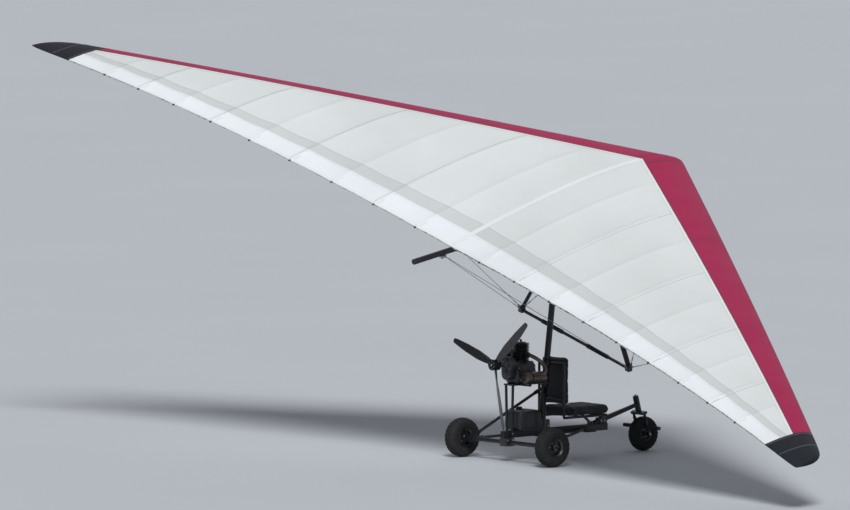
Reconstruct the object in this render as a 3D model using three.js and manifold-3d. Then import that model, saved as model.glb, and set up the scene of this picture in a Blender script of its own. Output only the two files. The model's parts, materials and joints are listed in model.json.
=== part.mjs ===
// Light powered hang glider: a topless flexwing on a single-seat three-wheeled chassis.
// Millimetres, +X forward, +Y left, +Z up. The origin is the flat underside of the rest pad
// below the mast foot. The wing stands nose up and banked to its right.
import * as THREE from 'three';
import { mergeVertices } from 'three/addons/utils/BufferGeometryUtils.js';
import Module from 'manifold-3d';

const wasm = await Module();
wasm.setup();

const rad = THREE.MathUtils.degToRad;

// Driving dimensions of the whole aircraft
const GAP = 0.3;
const OVER = 5;
const FLOOR_Z = -200;
const TRACK = 1200;
const REAR_AXLE_X = -380;
const FRONT_AXLE_X = 1170;
const HANG = { x: 220, z: 1820, boltR: 8 };
const NOSE_UP = rad(11);
const BANK_RIGHT = rad(18);

// Wheels: outer radius and width of the tyre, radius of the rim's barrel, hub half width
const REAR_WHEEL = { radius: 170, width: 125, rim: 76, hub: 50 };
const FRONT_WHEEL = { radius: 150, width: 100, rim: 62, hub: 42 };
const REAR_AXLE_Z = FLOOR_Z + REAR_WHEEL.radius;
const FRONT_AXLE_Z = FLOOR_Z + FRONT_WHEEL.radius;
const SPINDLE_R = 10;
const HUB_PLAY = 0.6;

// Chassis tubes
const REST_PAD = { thick: 8, halfLength: 55, halfWidth: 22, places: { rear: 0, front: 560 } };
const BEAM = { rear: -430, front: 740, halfWidth: 25, low: REST_PAD.thick + GAP, high: 70 };
const NOSE_TUBE = { start: 680, rearR: 24, frontR: 18 };
const SADDLE = { behind: 30, ahead: 50, halfWidth: 30, cover: 2 };
const MAST_R = 27;
const MAST_FOOT_Z = BEAM.high + 14;
const MAST_TOP = { behindBolt: 12, belowBolt: 62 };
const FOOT_SHOE = { rear: -62, front: 70, halfWidth: 42, height: 74 };
const CHEEK = { inner: 21, outer: 31, radius: 25, below: 60 };
const MAST_NECK = { behind: 34, ahead: 26, lowBelow: 96, highBelow: 54 };
const MAST_RING_WALL = 10;
const AXLE_R = 19;
const KNUCKLE = { y: 488, half: 30 };
const AXLE_COLLAR_R = 15;
const NUT = { radius: 16, thick: 13 };
const CLAMP = { half: 45, wall: 13 };
const STRUT_R = 13;
const UPPER_STRUT = { ahead: 8, inside: 5, above: 10, endBehind: 4, endY: 12, endZ: 420 };
const DRAG_STRUT = { ahead: 10, inside: 8, endX: 520, endY: 10 };

// Steering: the axis leans back and passes through the front axle
const RAKE = rad(15);
const FORK = { crown: 180, crownHeight: 22, crownHalf: 24, legY: 72, legR: 12, legLow: -18 };
const STEM_R = 14;
const HEAD_R = 26;
const FORK_CAP = { radius: 24, height: 14 };
const FORK_AXLE_OUT = 8;
const PEG = { z: 62, end: 235, radius: 11, flangeR: 17, flange: 10 };
const HEAD = { low: FORK.crown + FORK.crownHeight + HUB_PLAY, high: 330 };

// Seat
const SEAT = { front: 640, halfWidth: 200, railY: 165, railZ: 160, railR: 12, braceR: 10 };
const CUSHION = { rear: 150, low: SEAT.railZ + SEAT.railR + GAP, high: 250, corner: 60, bevel: 14 };
const BACKREST = { x: 125, thick: 62, halfWidth: 170, low: 262, high: 690, corner: 28, bevel: 12 };
const SEAT_RING = { lowZ: SEAT.railZ + 30, highZ: BACKREST.high - 60, height: 36, braceY: 10 };
const SEAT_FOOT = { x: SEAT.front - 60, halfLength: 30, halfWidth: 24, height: 24, postY: 16, postLift: 10 };
const BACK_BAR_Z = BACKREST.low + 60;

// Power unit behind the mast
const MOUNT_Z = 460;
const MOUNT_THICK = 14;
const MOUNT_PLATE = { rear: -366, halfWidth: 60, intoMast: 10, ringZ: MOUNT_Z + 10, ringHeight: 60 };
const MOUNT_LEG = { x: -352, radius: 12, topY: 46, topLift: 4, footY: 32, footZ: 30 };
const MOUNT_SHOE = { halfLength: 16, y: 34, halfWidth: 9, low: 10, high: 60 };
const CRANKCASE = { rear: -330, front: -130, halfWidth: 88, height: 190, chamfer: 34 };
const CYLINDER = { x: -225, coreR: 44, finR: 74, fins: 6, pitch: 26, base: 8, finThick: 9 };
const SPARK_PLUG = { lowR: 14, highR: 12, height: 26 };
const PROP_Z = 650;
const PROP = { x: -520, radius: 575, hubR: 48, halfHub: 38, firstBlade: rad(18) };
// Blade sections: radius from the shaft, chord, thickness, pitch in degrees
const BLADE = [
  [30, 40, 26, 50], [110, 62, 20, 38], [225, 78, 14, 26], [400, 70, 9, 17], [520, 52, 6, 13],
  [PROP.radius, 26, 4, 11],
];
const DRIVE = { rear: -398, crankZ: 565, crankR: 58, propR: 62, shaftR: 24 };
const MUFFLER = { rear: -360, front: -120, y: 200, radius: 52, belowCase: 128 };
const TAIL_PIPE = { out: 32, into: 10, radius: 14, below: 10 };
const MUFFLER_ARM = { rear: -300, front: -276, thick: 10, postOut: 6, postIn: 14, armIn: 4 };
const PIPE_R = 17;
// Route of the exhaust pipe: x from the cylinder's axis, y, z from the top of the crankcase
const PIPE_ROUTE = [[0, -52, 60], [0, -130, 58], [60, -196, 5], [110, -200, -70], [60, -200, -122]];
// Air filter, all from the fins' edge outward: inlet, carburettor and the conical filter
const INLET = { from: -20, to: 62, radius: 20, above: 60 };
const CARBURETTOR = { from: 14, to: 48, halfLength: 24, below: 44, above: 14 };
const FILTER = { from: 60, to: 140, innerR: 46, outerR: 36 };
const TANK_LOW = BEAM.high + GAP;
const TANK = { rear: -322, front: -72, halfWidth: 112, low: TANK_LOW, high: 240, corner: 40, bevel: 14 };

// Wing, in its own frame: the keel is the x axis, with the hang point at x = 0.
// A pair in brackets gives the value at the keel and at the tip.
const KEEL_ABOVE_BOLT = 90;
const HANG_BLOCK = { half: 36, halfWidth: 40, low: 48, wall: 16, bore: 0.4 };
const HANG_EYE = { halfLength: 32, halfWidth: 18, low: -8, high: 60, radius: 24 };
const HANG_BOLT = { half: 44, headR: 14 };
const KEEL_COLLAR = { length: 16, wall: 9 };
const KEEL = { front: 1400, rear: -1660, radius: 25 };
const NOSE_X = 1450;
const HALF_SPAN = 5000;
const SWEEP = rad(29);
const TIP_BOW = 115;
const ROOT_CHORD = 2700;
const TIP_CHORD = 340;
const CHORD_Z = 70;
const SKIN = 5;
const TIP_START = 4550;
const SAIL_BAYS = 8;
const NOSE_CONE_HALF = 70;
const NOSE_PLATE = { rear: 1190, behindKeelEnd: 10, halfWidth: 40, play: 0.4 };
const POCKET = { front: -120, rear: -1180, radius: 31, halfWeb: 3 };
const HANG_OPENING = { half: 62, radius: 66 };
// Tip sections: distance from the keel, and how far they shrink towards their rear
const TIP_ROWS = [[TIP_START + GAP, 0], [4760, 0.02], [4900, 0.12], [4970, 0.32], [HALF_SPAN, 0.62]];
const BAND = { top: [500, 200], under: [170, 110] };
const CAMBER = { top: [0.085, 0.105], under: [0.008, 0.02] };
const TWIST = { root: rad(-0.75), tip: rad(8.5) };

// Control frame, in the wing's frame
const APEX = { x: 250, y: 60, z: -56 };
const FRAME_HEAD = { halfLength: 35, halfWidth: 44, low: -48, wall: 2 };
const HEAD_LUG = { halfLength: 14, y: 48, halfWidth: 22, low: -76, high: -30 };
const BAR = { x: 300, halfLength: 700, z: -1280, radius: 14 };
const BAR_END = { halfLength: 22, halfWidth: 24, below: 20, above: 34 };
// Uprights: half thickness, width over thickness, and their ends measured from apex and bar end
const UPRIGHT = { half: 10, fairing: 2.7, topOut: 8, topBelow: 22, lowIn: 12, lowAbove: 36 };
const WIRE_R = 2.5;
const WIRE_START = { ahead: 23, out: 25, above: 20 };
const WIRE_ENDS = {
  front: { x: 1330, y: 14 },
  rear: { x: -1330, y: 14 },
  side: { t: 0.17, y: 2900 },
};

// Finishes
const finish = (color, roughness, metalness = 0) =>
  new THREE.MeshStandardMaterial({ color, roughness, metalness });
const whiteCloth = finish(0xe0e4e4, 0.6);
const redCloth = finish(0xa72351, 0.6);
const darkCloth = finish(0x17181b, 0.7);
const blackTube = finish(0x121315, 0.45, 0.4);
const bareAluminium = finish(0x9da1a6, 0.35, 0.9);
const castAlloy = finish(0x5d5e61, 0.55, 0.8);
const steel = finish(0x8a8d90, 0.3, 1);
const tyreRubber = finish(0x0d0d0e, 0.85);
const blackPlastic = finish(0x161719, 0.5);
const carbon = finish(0x0e0f11, 0.3);
const seatCloth = finish(0x141518, 0.85);
const tankPlastic = finish(0x1d1f22, 0.5);

// Solids
function toSolid(geometry) {
  const bare = geometry.clone();
  for (const name of Object.keys(bare.attributes)) {
    if (name !== 'position') bare.deleteAttribute(name);
  }
  const merged = mergeVertices(bare, 1e-4);
  return new wasm.Manifold(new wasm.Mesh({
    numProp: 3,
    vertProperties: new Float32Array(merged.attributes.position.array),
    triVerts: new Uint32Array(merged.index.array),
  }));
}

function toGeometry(solid) {
  const mesh = solid.getMesh();
  const geometry = new THREE.BufferGeometry();
  const positions = new Float32Array(mesh.numVert * 3);
  for (let i = 0; i < mesh.numVert; i++) {
    for (let k = 0; k < 3; k++) positions[3 * i + k] = mesh.vertProperties[i * mesh.numProp + k];
  }
  geometry.setAttribute('position', new THREE.BufferAttribute(positions, 3));
  geometry.setIndex(new THREE.BufferAttribute(new Uint32Array(mesh.triVerts), 1));
  return geometry;
}

const at = (x, y, z) => new THREE.Vector3(x, y, z);
const join = (...pieces) => pieces.map(toSolid).reduce((all, one) => all.add(one));
const cut = (solid, ...tools) => tools.map(toSolid).reduce((left, tool) => left.subtract(tool), solid);

function block(x0, x1, y0, y1, z0, z1) {
  const box = new THREE.BoxGeometry(x1 - x0, y1 - y0, z1 - z0);
  return box.translate((x0 + x1) / 2, (y0 + y1) / 2, (z0 + z1) / 2);
}

// Round bar from a to b, tapering where the end radius differs
function rod(a, b, radius, sides = 12, endRadius = radius) {
  const axis = b.clone().sub(a);
  const bar = new THREE.CylinderGeometry(endRadius, radius, axis.length(), sides);
  const turn = new THREE.Quaternion().setFromUnitVectors(at(0, 1, 0), axis.clone().normalize());
  bar.applyQuaternion(turn);
  const middle = a.clone().add(b).multiplyScalar(0.5);
  return bar.translate(middle.x, middle.y, middle.z);
}

// Turned piece about the Y axis; profile rows are [radius, y]
function turned(profile, segments) {
  const points = profile.map(([r, y]) => new THREE.Vector2(r, y));
  if (THREE.ShapeUtils.area(points) < 0) points.reverse();
  return new THREE.LatheGeometry(points, segments);
}

// Body through equal loops of points, closed at both ends
function loft(loops) {
  const count = loops[0].length;
  const points = loops.flat();
  const faces = [];
  for (let i = 0; i + 1 < loops.length; i++) {
    for (let k = 0; k < count; k++) {
      const next = (k + 1) % count;
      const [a, b] = [i * count + k, i * count + next];
      faces.push([a, b, b + count], [a, b + count, a + count]);
    }
  }
  const caps = [[loops[0], 0, 1], [loops.at(-1), points.length - count, -1]];
  for (const [loop, offset, side] of caps) {
    const flat = loop.map((p) => new THREE.Vector2(p.x, p.z));
    const cap = THREE.ShapeUtils.triangulateShape(flat, []);
    const areaOf = ([i, j, k]) => THREE.ShapeUtils.area([flat[i], flat[j], flat[k]]);
    const capArea = cap.reduce((sum, triangle) => sum + areaOf(triangle), 0);
    const reversed = capArea * THREE.ShapeUtils.area(flat) * side > 0;
    for (const [i, j, k] of cap) {
      faces.push((reversed ? [i, k, j] : [i, j, k]).map((n) => n + offset));
    }
  }
  let volume = 0;
  for (const [a, b, c] of faces) volume += points[a].dot(points[b].clone().cross(points[c]));
  if (volume < 0) faces.forEach((face) => face.reverse());
  const geometry = new THREE.BufferGeometry();
  geometry.setFromPoints(points);
  geometry.setIndex(faces.flat());
  return geometry;
}

// Rounded upright box, as a rounded outline with bevelled rims
function pad(x0, x1, y0, y1, z0, z1, corner, bevel) {
  const [w, d] = [x1 - x0 - 2 * bevel, y1 - y0 - 2 * bevel];
  const r = corner - bevel;
  const outline = new THREE.Shape();
  outline.absarc(w - r, r, r, -Math.PI / 2, 0);
  outline.absarc(w - r, d - r, r, 0, Math.PI / 2);
  outline.absarc(r, d - r, r, Math.PI / 2, Math.PI);
  outline.absarc(r, r, r, Math.PI, 1.5 * Math.PI);
  const body = new THREE.ExtrudeGeometry(outline, {
    depth: z1 - z0 - 2 * bevel, curveSegments: 4,
    bevelThickness: bevel, bevelSize: bevel, bevelSegments: 2,
  });
  return body.translate(x0 + bevel, y0 + bevel, z0 + bevel);
}

const model = new THREE.Group();

function add(parent, name, shape, material) {
  const geometry = shape.isBufferGeometry ? toGeometry(toSolid(shape)) : toGeometry(shape);
  const mesh = new THREE.Mesh(geometry, material);
  mesh.name = name;
  parent.add(mesh);
  return mesh;
}

function group(parent, x = 0, y = 0, z = 0) {
  const child = new THREE.Group();
  child.position.set(x, y, z);
  parent.add(child);
  return child;
}

const SIDES = [['left', 1], ['right', -1]];

// Chassis: beam, nose tube, mast and its foot
const mastFoot = at(0, 0, MAST_FOOT_Z);
const mastTop = at(HANG.x - MAST_TOP.behindBolt, 0, HANG.z - MAST_TOP.belowBolt);
const mastAt = (z) => mastFoot.x + (mastTop.x - mastFoot.x) * (z - MAST_FOOT_Z) / (mastTop.z - MAST_FOOT_Z);
const steerPoint = (s, y = 0) =>
  at(FRONT_AXLE_X - s * Math.sin(RAKE), y, FRONT_AXLE_Z + s * Math.cos(RAKE));

function beamBody() {
  return block(BEAM.rear, BEAM.front, -BEAM.halfWidth, BEAM.halfWidth, BEAM.low, BEAM.high);
}

function beamCutter() {
  const w = BEAM.halfWidth + GAP;
  return block(BEAM.rear - GAP, BEAM.front + GAP, -w, w, BEAM.low - GAP, BEAM.high + GAP);
}

function noseTube() {
  const { start, rearR, frontR } = NOSE_TUBE;
  const tube = rod(at(start, 0, BEAM.high + rearR), steerPoint((HEAD.low + HEAD.high) / 2), rearR, 18, frontR);
  const head = rod(steerPoint(HEAD.low), steerPoint(HEAD.high), HEAD_R, 24);
  const { behind, ahead, halfWidth, cover } = SADDLE;
  const saddle = block(start - behind, start + ahead, -halfWidth, halfWidth,
    BEAM.high + GAP, BEAM.high + 2 * rearR + cover);
  const bore = rod(steerPoint(HEAD.low - OVER), steerPoint(HEAD.high + OVER), STEM_R + HUB_PLAY, 24);
  return cut(join(tube, head, saddle), bore);
}

function mastBody() {
  const { inner, outer, radius, below } = CHEEK;
  const { behind, ahead, lowBelow, highBelow } = MAST_NECK;
  const tube = rod(mastFoot, mastTop, MAST_R, 20);
  const neck = block(HANG.x - behind, HANG.x + ahead, -outer, outer, HANG.z - lowBelow, HANG.z - highBelow);
  const cheeks = SIDES.flatMap(([, s]) => {
    const [y0, y1] = s > 0 ? [inner, outer] : [-outer, -inner];
    return [
      block(HANG.x - radius, HANG.x + radius, y0, y1, HANG.z - below, HANG.z),
      rod(at(HANG.x, y0, HANG.z), at(HANG.x, y1, HANG.z), radius, 24),
    ];
  });
  const end = outer + OVER;
  const hole = rod(at(HANG.x, -end, HANG.z), at(HANG.x, end, HANG.z), HANG.boltR + HUB_PLAY, 20);
  return cut(join(tube, neck, ...cheeks), hole);
}

const mastCutter = rod(mastFoot.clone().setZ(MAST_FOOT_Z - GAP), mastTop, MAST_R + GAP, 20);

function mastFootBody() {
  const { rear, front, halfWidth, height } = FOOT_SHOE;
  const shoe = block(rear, front, -halfWidth, halfWidth, BEAM.high + GAP, BEAM.high + height);
  return cut(toSolid(shoe), mastCutter);
}

function restPad(x) {
  const { thick, halfLength, halfWidth } = REST_PAD;
  return block(x - halfLength, x + halfLength, -halfWidth, halfWidth, 0, thick);
}

add(model, 'base_beam', beamBody(), blackTube);
for (const [place, x] of Object.entries(REST_PAD.places)) {
  add(model, `rest_pad_${place}`, restPad(x), blackPlastic);
}
add(model, 'nose_tube', noseTube(), blackTube);
add(model, 'mast', mastBody(), blackTube);
add(model, 'mast_foot', mastFootBody(), castAlloy);

// Rear axle with its knuckles and spindles, its clamp, and the struts to mast and beam
function knuckle(s, grow = 0) {
  const half = KNUCKLE.half + grow;
  const y = s * KNUCKLE.y;
  return block(REAR_AXLE_X - half, REAR_AXLE_X + half, y - half, y + half,
    REAR_AXLE_Z - half, REAR_AXLE_Z + half);
}

function rearAxle() {
  const centre = (y) => at(REAR_AXLE_X, y, REAR_AXLE_Z);
  const nutStart = TRACK / 2 + REAR_WHEEL.hub + HUB_PLAY;
  const spindleEnd = nutStart + NUT.thick;
  const collarEnd = TRACK / 2 - REAR_WHEEL.hub - HUB_PLAY;
  return join(
    rod(centre(-KNUCKLE.y), centre(KNUCKLE.y), AXLE_R, 18),
    rod(centre(-spindleEnd), centre(spindleEnd), SPINDLE_R, 18),
    ...SIDES.flatMap(([, s]) => [
      knuckle(s),
      rod(centre(s * KNUCKLE.y), centre(s * collarEnd), AXLE_COLLAR_R, 18),
      rod(centre(s * nutStart), centre(s * spindleEnd), NUT.radius, 6),
    ]),
  );
}

function axleClamp() {
  const { half, wall } = CLAMP;
  const low = REAR_AXLE_Z - AXLE_R - wall;
  const body = block(REAR_AXLE_X - half, REAR_AXLE_X + half, -half, half, low, BEAM.low - GAP);
  const end = half + OVER;
  const bore = rod(at(REAR_AXLE_X, -end, REAR_AXLE_Z), at(REAR_AXLE_X, end, REAR_AXLE_Z), AXLE_R + GAP, 18);
  return cut(toSolid(body), bore);
}

add(model, 'rear_axle', rearAxle(), blackTube);
add(model, 'axle_clamp', axleClamp(), castAlloy);

for (const [side, s] of SIDES) {
  const { endBehind, endY, endZ } = UPPER_STRUT;
  const upperStart = at(REAR_AXLE_X + UPPER_STRUT.ahead, s * (KNUCKLE.y - UPPER_STRUT.inside),
    REAR_AXLE_Z + UPPER_STRUT.above);
  const upperEnd = at(mastAt(endZ) - endBehind, s * endY, endZ);
  const upper = cut(toSolid(rod(upperStart, upperEnd, STRUT_R)), knuckle(s, GAP), mastCutter);
  add(model, `upper_strut_${side}`, upper, blackTube);
  const dragStart = at(REAR_AXLE_X + DRAG_STRUT.ahead, s * (KNUCKLE.y - DRAG_STRUT.inside), REAR_AXLE_Z);
  const dragEnd = at(DRAG_STRUT.endX, s * DRAG_STRUT.endY, (BEAM.low + BEAM.high) / 2);
  const drag = cut(toSolid(rod(dragStart, dragEnd, STRUT_R)), knuckle(s, GAP), beamCutter());
  add(model, `drag_strut_${side}`, drag, blackTube);
}

// Seat: tube frame clamped to the mast and stood on the beam, cushion and back
function mastRing(z, height) {
  const [low, high] = [z - height / 2, z + height / 2];
  return rod(at(mastAt(low), 0, low), at(mastAt(high), 0, high), MAST_R + MAST_RING_WALL, 20);
}

function seatFrame() {
  const { railY, railZ, railR, braceR } = SEAT;
  const { lowZ, highZ, height, braceY } = SEAT_RING;
  const foot = SEAT_FOOT;
  const pieces = [mastRing(lowZ, height), mastRing(highZ, height)];
  for (const [, s] of SIDES) {
    const y = s * railY;
    pieces.push(
      rod(at(BACKREST.x, y, railZ), at(foot.x + foot.halfLength, y, railZ), railR, 10),
      rod(at(BACKREST.x, y, railZ), at(BACKREST.x, y, highZ), railR, 10),
      rod(at(mastAt(lowZ), s * braceY, lowZ), at(BACKREST.x, y, lowZ), braceR, 8),
      rod(at(mastAt(highZ), s * braceY, highZ), at(BACKREST.x, y, highZ), braceR, 8),
      rod(at(foot.x, s * foot.postY, BEAM.high + foot.postLift), at(foot.x, y, railZ), railR, 10),
    );
  }
  const crossBars = [[foot.x, railZ], [BACKREST.x, BACK_BAR_Z], [BACKREST.x, highZ]];
  pieces.push(...crossBars.map(([x, z]) => rod(at(x, -railY, z), at(x, railY, z), railR)));
  pieces.push(block(foot.x - foot.halfLength, foot.x + foot.halfLength, -foot.halfWidth, foot.halfWidth,
    BEAM.high + GAP, BEAM.high + foot.height));
  return cut(join(...pieces), mastCutter, beamCutter());
}

function seatCushion() {
  const { rear, low, high, corner, bevel } = CUSHION;
  return pad(rear, SEAT.front, -SEAT.halfWidth, SEAT.halfWidth, low, high, corner, bevel);
}

function seatBack() {
  const { x, thick, halfWidth, low, high, corner, bevel } = BACKREST;
  const rear = x + SEAT.railR + GAP;
  return pad(rear, rear + thick, -halfWidth, halfWidth, low, high, corner, bevel);
}

add(model, 'seat_frame', seatFrame(), blackTube);
add(model, 'seat_cushion', seatCushion(), seatCloth);
add(model, 'seat_back', seatBack(), seatCloth);

// Power unit: mount, crankcase, finned cylinder, drive, exhaust, air filter and tank
function engineMount() {
  const [low, high] = [MOUNT_Z, MOUNT_Z + MOUNT_THICK];
  const [plate, leg, shoe] = [MOUNT_PLATE, MOUNT_LEG, MOUNT_SHOE];
  const pieces = [
    block(plate.rear, mastAt(low) + plate.intoMast, -plate.halfWidth, plate.halfWidth, low, high),
    mastRing(plate.ringZ, plate.ringHeight),
  ];
  for (const [, s] of SIDES) {
    const y = s * shoe.y;
    pieces.push(
      rod(at(leg.x, s * leg.topY, low + leg.topLift), at(leg.x, s * leg.footY, leg.footZ), leg.radius),
      block(leg.x - shoe.halfLength, leg.x + shoe.halfLength, y - shoe.halfWidth, y + shoe.halfWidth,
        shoe.low, shoe.high),
    );
  }
  return cut(join(...pieces), mastCutter, beamCutter());
}

function crankcase() {
  const { rear, front, halfWidth: w, height: h, chamfer: c } = CRANKCASE;
  const z0 = MOUNT_Z + MOUNT_THICK + GAP;
  const corners = [[c - w, 0], [w - c, 0], [w, c], [w, h - c], [w - c, h], [c - w, h], [-w, h - c], [-w, c]];
  const loops = [rear, front].map((x) => corners.map(([y, z]) => at(y, x, z0 + z)));
  return loft(loops).rotateZ(-Math.PI / 2);
}

const CASE_TOP = MOUNT_Z + MOUNT_THICK + GAP + CRANKCASE.height;
const PLUG_TOP = CYLINDER.base + CYLINDER.fins * CYLINDER.pitch + SPARK_PLUG.height;
const onCylinder = (z) => at(CYLINDER.x, 0, CASE_TOP + z);
const finCutter = rod(onCylinder(0), onCylinder(PLUG_TOP), CYLINDER.finR + GAP, 18);

function finnedCylinder() {
  const { coreR, finR, fins, pitch, base, finThick } = CYLINDER;
  const profile = [[0, GAP], [coreR, GAP]];
  for (let i = 0; i < fins; i++) {
    const z = base + i * pitch;
    profile.push([coreR, z], [finR, z], [finR, z + finThick], [coreR, z + finThick]);
  }
  const top = base + fins * pitch;
  profile.push([coreR, top], [SPARK_PLUG.lowR, top], [SPARK_PLUG.highR, PLUG_TOP], [0, PLUG_TOP]);
  return turned(profile, 18).rotateX(Math.PI / 2).translate(CYLINDER.x, 0, CASE_TOP);
}

function driveHousing() {
  const { rear, crankZ, crankR, propR, shaftR } = DRIVE;
  const front = CRANKCASE.rear - GAP;
  return join(
    rod(at(rear, 0, crankZ), at(front, 0, crankZ), crankR, 28),
    rod(at(rear, 0, PROP_Z), at(front, 0, PROP_Z), propR, 28),
    block(rear, front, -crankR, crankR, crankZ, PROP_Z),
    rod(at(PROP.x + PROP.halfHub + GAP, 0, PROP_Z), at(rear + OVER, 0, PROP_Z), shaftR, 20),
  );
}

function exhaust() {
  const stops = PIPE_ROUTE.map(([x, y, z]) => at(CYLINDER.x + x, y, CASE_TOP + z));
  const route = new THREE.CatmullRomCurve3(stops);
  const ring = new THREE.Shape().absarc(0, 0, PIPE_R, 0, 2 * Math.PI);
  const pipe = new THREE.ExtrudeGeometry(ring, { steps: 12, curveSegments: 5, extrudePath: route });
  const { rear, front, y, radius, belowCase } = MUFFLER;
  const z = CASE_TOP - belowCase;
  const can = rod(at(rear, -y, z), at(front, -y, z), radius, 24);
  const { out, into, radius: nozzleR, below } = TAIL_PIPE;
  const nozzle = rod(at(rear - out, -y, z - below), at(rear + into, -y, z - below), nozzleR, 14);
  const { rear: armRear, front: armFront, thick, postOut, postIn, armIn } = MUFFLER_ARM;
  const armLow = MOUNT_Z + 1;
  const arm = block(armRear, armFront, armIn - y, -MOUNT_PLATE.halfWidth - GAP, armLow, armLow + thick);
  const post = block(armRear, armFront, -y - postOut, postIn - y, armLow, z);
  return cut(join(pipe, can, nozzle, arm, post), finCutter);
}

function airFilter() {
  const z = CASE_TOP + INLET.above;
  const out = (y) => at(CYLINDER.x, CYLINDER.finR + y, z);
  const { from, to, halfLength, below, above } = CARBURETTOR;
  const body = join(
    rod(out(INLET.from), out(INLET.to), INLET.radius, 16),
    block(CYLINDER.x - halfLength, CYLINDER.x + halfLength, out(from).y, out(to).y, z - below, z + above),
    rod(out(FILTER.from), out(FILTER.to), FILTER.innerR, 20, FILTER.outerR),
  );
  return cut(body, finCutter);
}

add(model, 'engine_mount', engineMount(), blackTube);
add(model, 'engine_crankcase', crankcase(), castAlloy);
add(model, 'engine_cylinder', finnedCylinder(), castAlloy);
add(model, 'reduction_drive', driveHousing(), castAlloy);
add(model, 'exhaust', exhaust(), steel);
add(model, 'air_filter', airFilter(), blackPlastic);
add(model, 'fuel_tank',
  pad(TANK.rear, TANK.front, -TANK.halfWidth, TANK.halfWidth, TANK.low, TANK.high, TANK.corner, TANK.bevel),
  tankPlastic);

// Propeller: three blades on a hub, turning about the x axis
function blade() {
  const loops = BLADE.map(([r, chord, thick, pitch]) => {
    const loop = [];
    for (let i = 0; i < 10; i++) {
      const turn = (i / 10) * 2 * Math.PI;
      const point = at(0.5 * chord * Math.cos(turn), r, 0.5 * thick * Math.sin(turn));
      loop.push(point.applyAxisAngle(at(0, 1, 0), rad(pitch)));
    }
    return loop;
  });
  // The chord lies across the shaft, the thickness along it
  return loft(loops).rotateY(Math.PI / 2);
}

const propeller = group(model, PROP.x, 0, PROP_Z);
const hub = rod(at(-PROP.halfHub, 0, 0), at(PROP.halfHub, 0, 0), PROP.hubR, 24);
const blades = [0, 1, 2].map((i) => blade().rotateX(PROP.firstBlade + rad(120 * i)));
add(propeller, 'propeller', join(hub, ...blades), carbon);

// Wheels: section rows are [radius, y]
function tyre({ radius, width, rim }) {
  const w = width / 2;
  const bead = 0.7 * w;
  const half = [
    [rim + 0.5, bead], [rim + 9, bead], [rim + 10, 0.87 * w], [rim + 0.4 * (radius - rim), w],
    [rim + 0.72 * (radius - rim), 0.95 * w], [radius - 11, 0.76 * w], [radius - 2, 0.42 * w], [radius, 0],
  ];
  const mirrored = half.slice(0, -1).reverse().map(([r, y]) => [r, -y]);
  return turned([...half, ...mirrored, half[0]], 28);
}

function rim({ width, rim: barrel, hub: hubHalf }) {
  const bead = 0.35 * width;
  const half = [
    [SPINDLE_R + HUB_PLAY, hubHalf], [26, hubHalf], [29, 9], [barrel - 12, 9], [barrel - 12, bead - 2],
    [barrel + 6, bead + 8], [barrel + 8, bead + 6], [barrel + 8, bead + 0.6], [barrel, bead + 0.6],
  ];
  const mirrored = half.toReversed().map(([r, y]) => [r, -y]);
  return turned([...half, ...mirrored, half[0]], 18);
}

for (const [side, s] of SIDES) {
  const wheel = group(model, REAR_AXLE_X, s * TRACK / 2, REAR_AXLE_Z);
  add(wheel, `rear_tyre_${side}`, tyre(REAR_WHEEL), tyreRubber);
  add(wheel, `rear_rim_${side}`, rim(REAR_WHEEL), castAlloy);
}

// Front fork: s runs up the steering axis from the front axle
const fork = group(model, FRONT_AXLE_X, 0, FRONT_AXLE_Z);
fork.rotation.y = -RAKE;

function forkBody() {
  const { crown, crownHeight, crownHalf, legY, legR, legLow } = FORK;
  const axleEnd = legY + legR + FORK_AXLE_OUT;
  const capTop = HEAD.high + FORK_CAP.height;
  const pieces = [
    block(-crownHalf, crownHalf, -legY - legR, legY + legR, crown, crown + crownHeight),
    rod(at(0, 0, crown + OVER), at(0, 0, capTop), STEM_R, 20),
    rod(at(0, 0, HEAD.high + HUB_PLAY), at(0, 0, capTop), FORK_CAP.radius, 20),
    rod(at(0, -axleEnd, 0), at(0, axleEnd, 0), SPINDLE_R, 16),
  ];
  for (const [, s] of SIDES) {
    pieces.push(
      rod(at(0, s * legY, legLow), at(0, s * legY, crown + OVER), legR),
      rod(at(0, s * (FRONT_WHEEL.hub + HUB_PLAY), 0), at(0, s * legY, 0), AXLE_COLLAR_R, 16),
      rod(at(0, s * legY, PEG.z), at(0, s * PEG.end, PEG.z), PEG.radius),
      rod(at(0, s * (PEG.end - PEG.flange), PEG.z), at(0, s * PEG.end, PEG.z), PEG.flangeR),
    );
  }
  return join(...pieces);
}

add(fork, 'front_fork', forkBody(), blackTube);
const frontWheel = group(fork);
frontWheel.rotation.y = RAKE;
add(frontWheel, 'front_tyre', tyre(FRONT_WHEEL), tyreRubber);
add(frontWheel, 'front_rim', rim(FRONT_WHEEL), castAlloy);

// Hang joint: the block pitches on the bolt, and the keel rolls in the block
const hang = group(model, HANG.x, 0, HANG.z);
hang.rotation.y = -NOSE_UP;

function hangBlock() {
  const { half, halfWidth, low, wall, bore } = HANG_BLOCK;
  const { halfLength, halfWidth: eyeHalf, low: eyeLow, high: eyeHigh, radius } = HANG_EYE;
  const top = KEEL_ABOVE_BOLT + KEEL.radius + wall;
  const pieces = join(
    block(-halfLength, halfLength, -eyeHalf, eyeHalf, eyeLow, eyeHigh),
    rod(at(0, -eyeHalf, 0), at(0, eyeHalf, 0), radius, 24),
    block(-half, half, -halfWidth, halfWidth, low, top),
  );
  const [boreEnd, holeEnd] = [half + OVER, eyeHalf + OVER];
  const onKeel = (x) => at(x, 0, KEEL_ABOVE_BOLT);
  const keelBore = rod(onKeel(-boreEnd), onKeel(boreEnd), KEEL.radius + bore, 32);
  const boltHole = rod(at(0, -holeEnd, 0), at(0, holeEnd, 0), HANG.boltR + GAP, 20);
  return cut(pieces, keelBore, boltHole);
}

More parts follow.
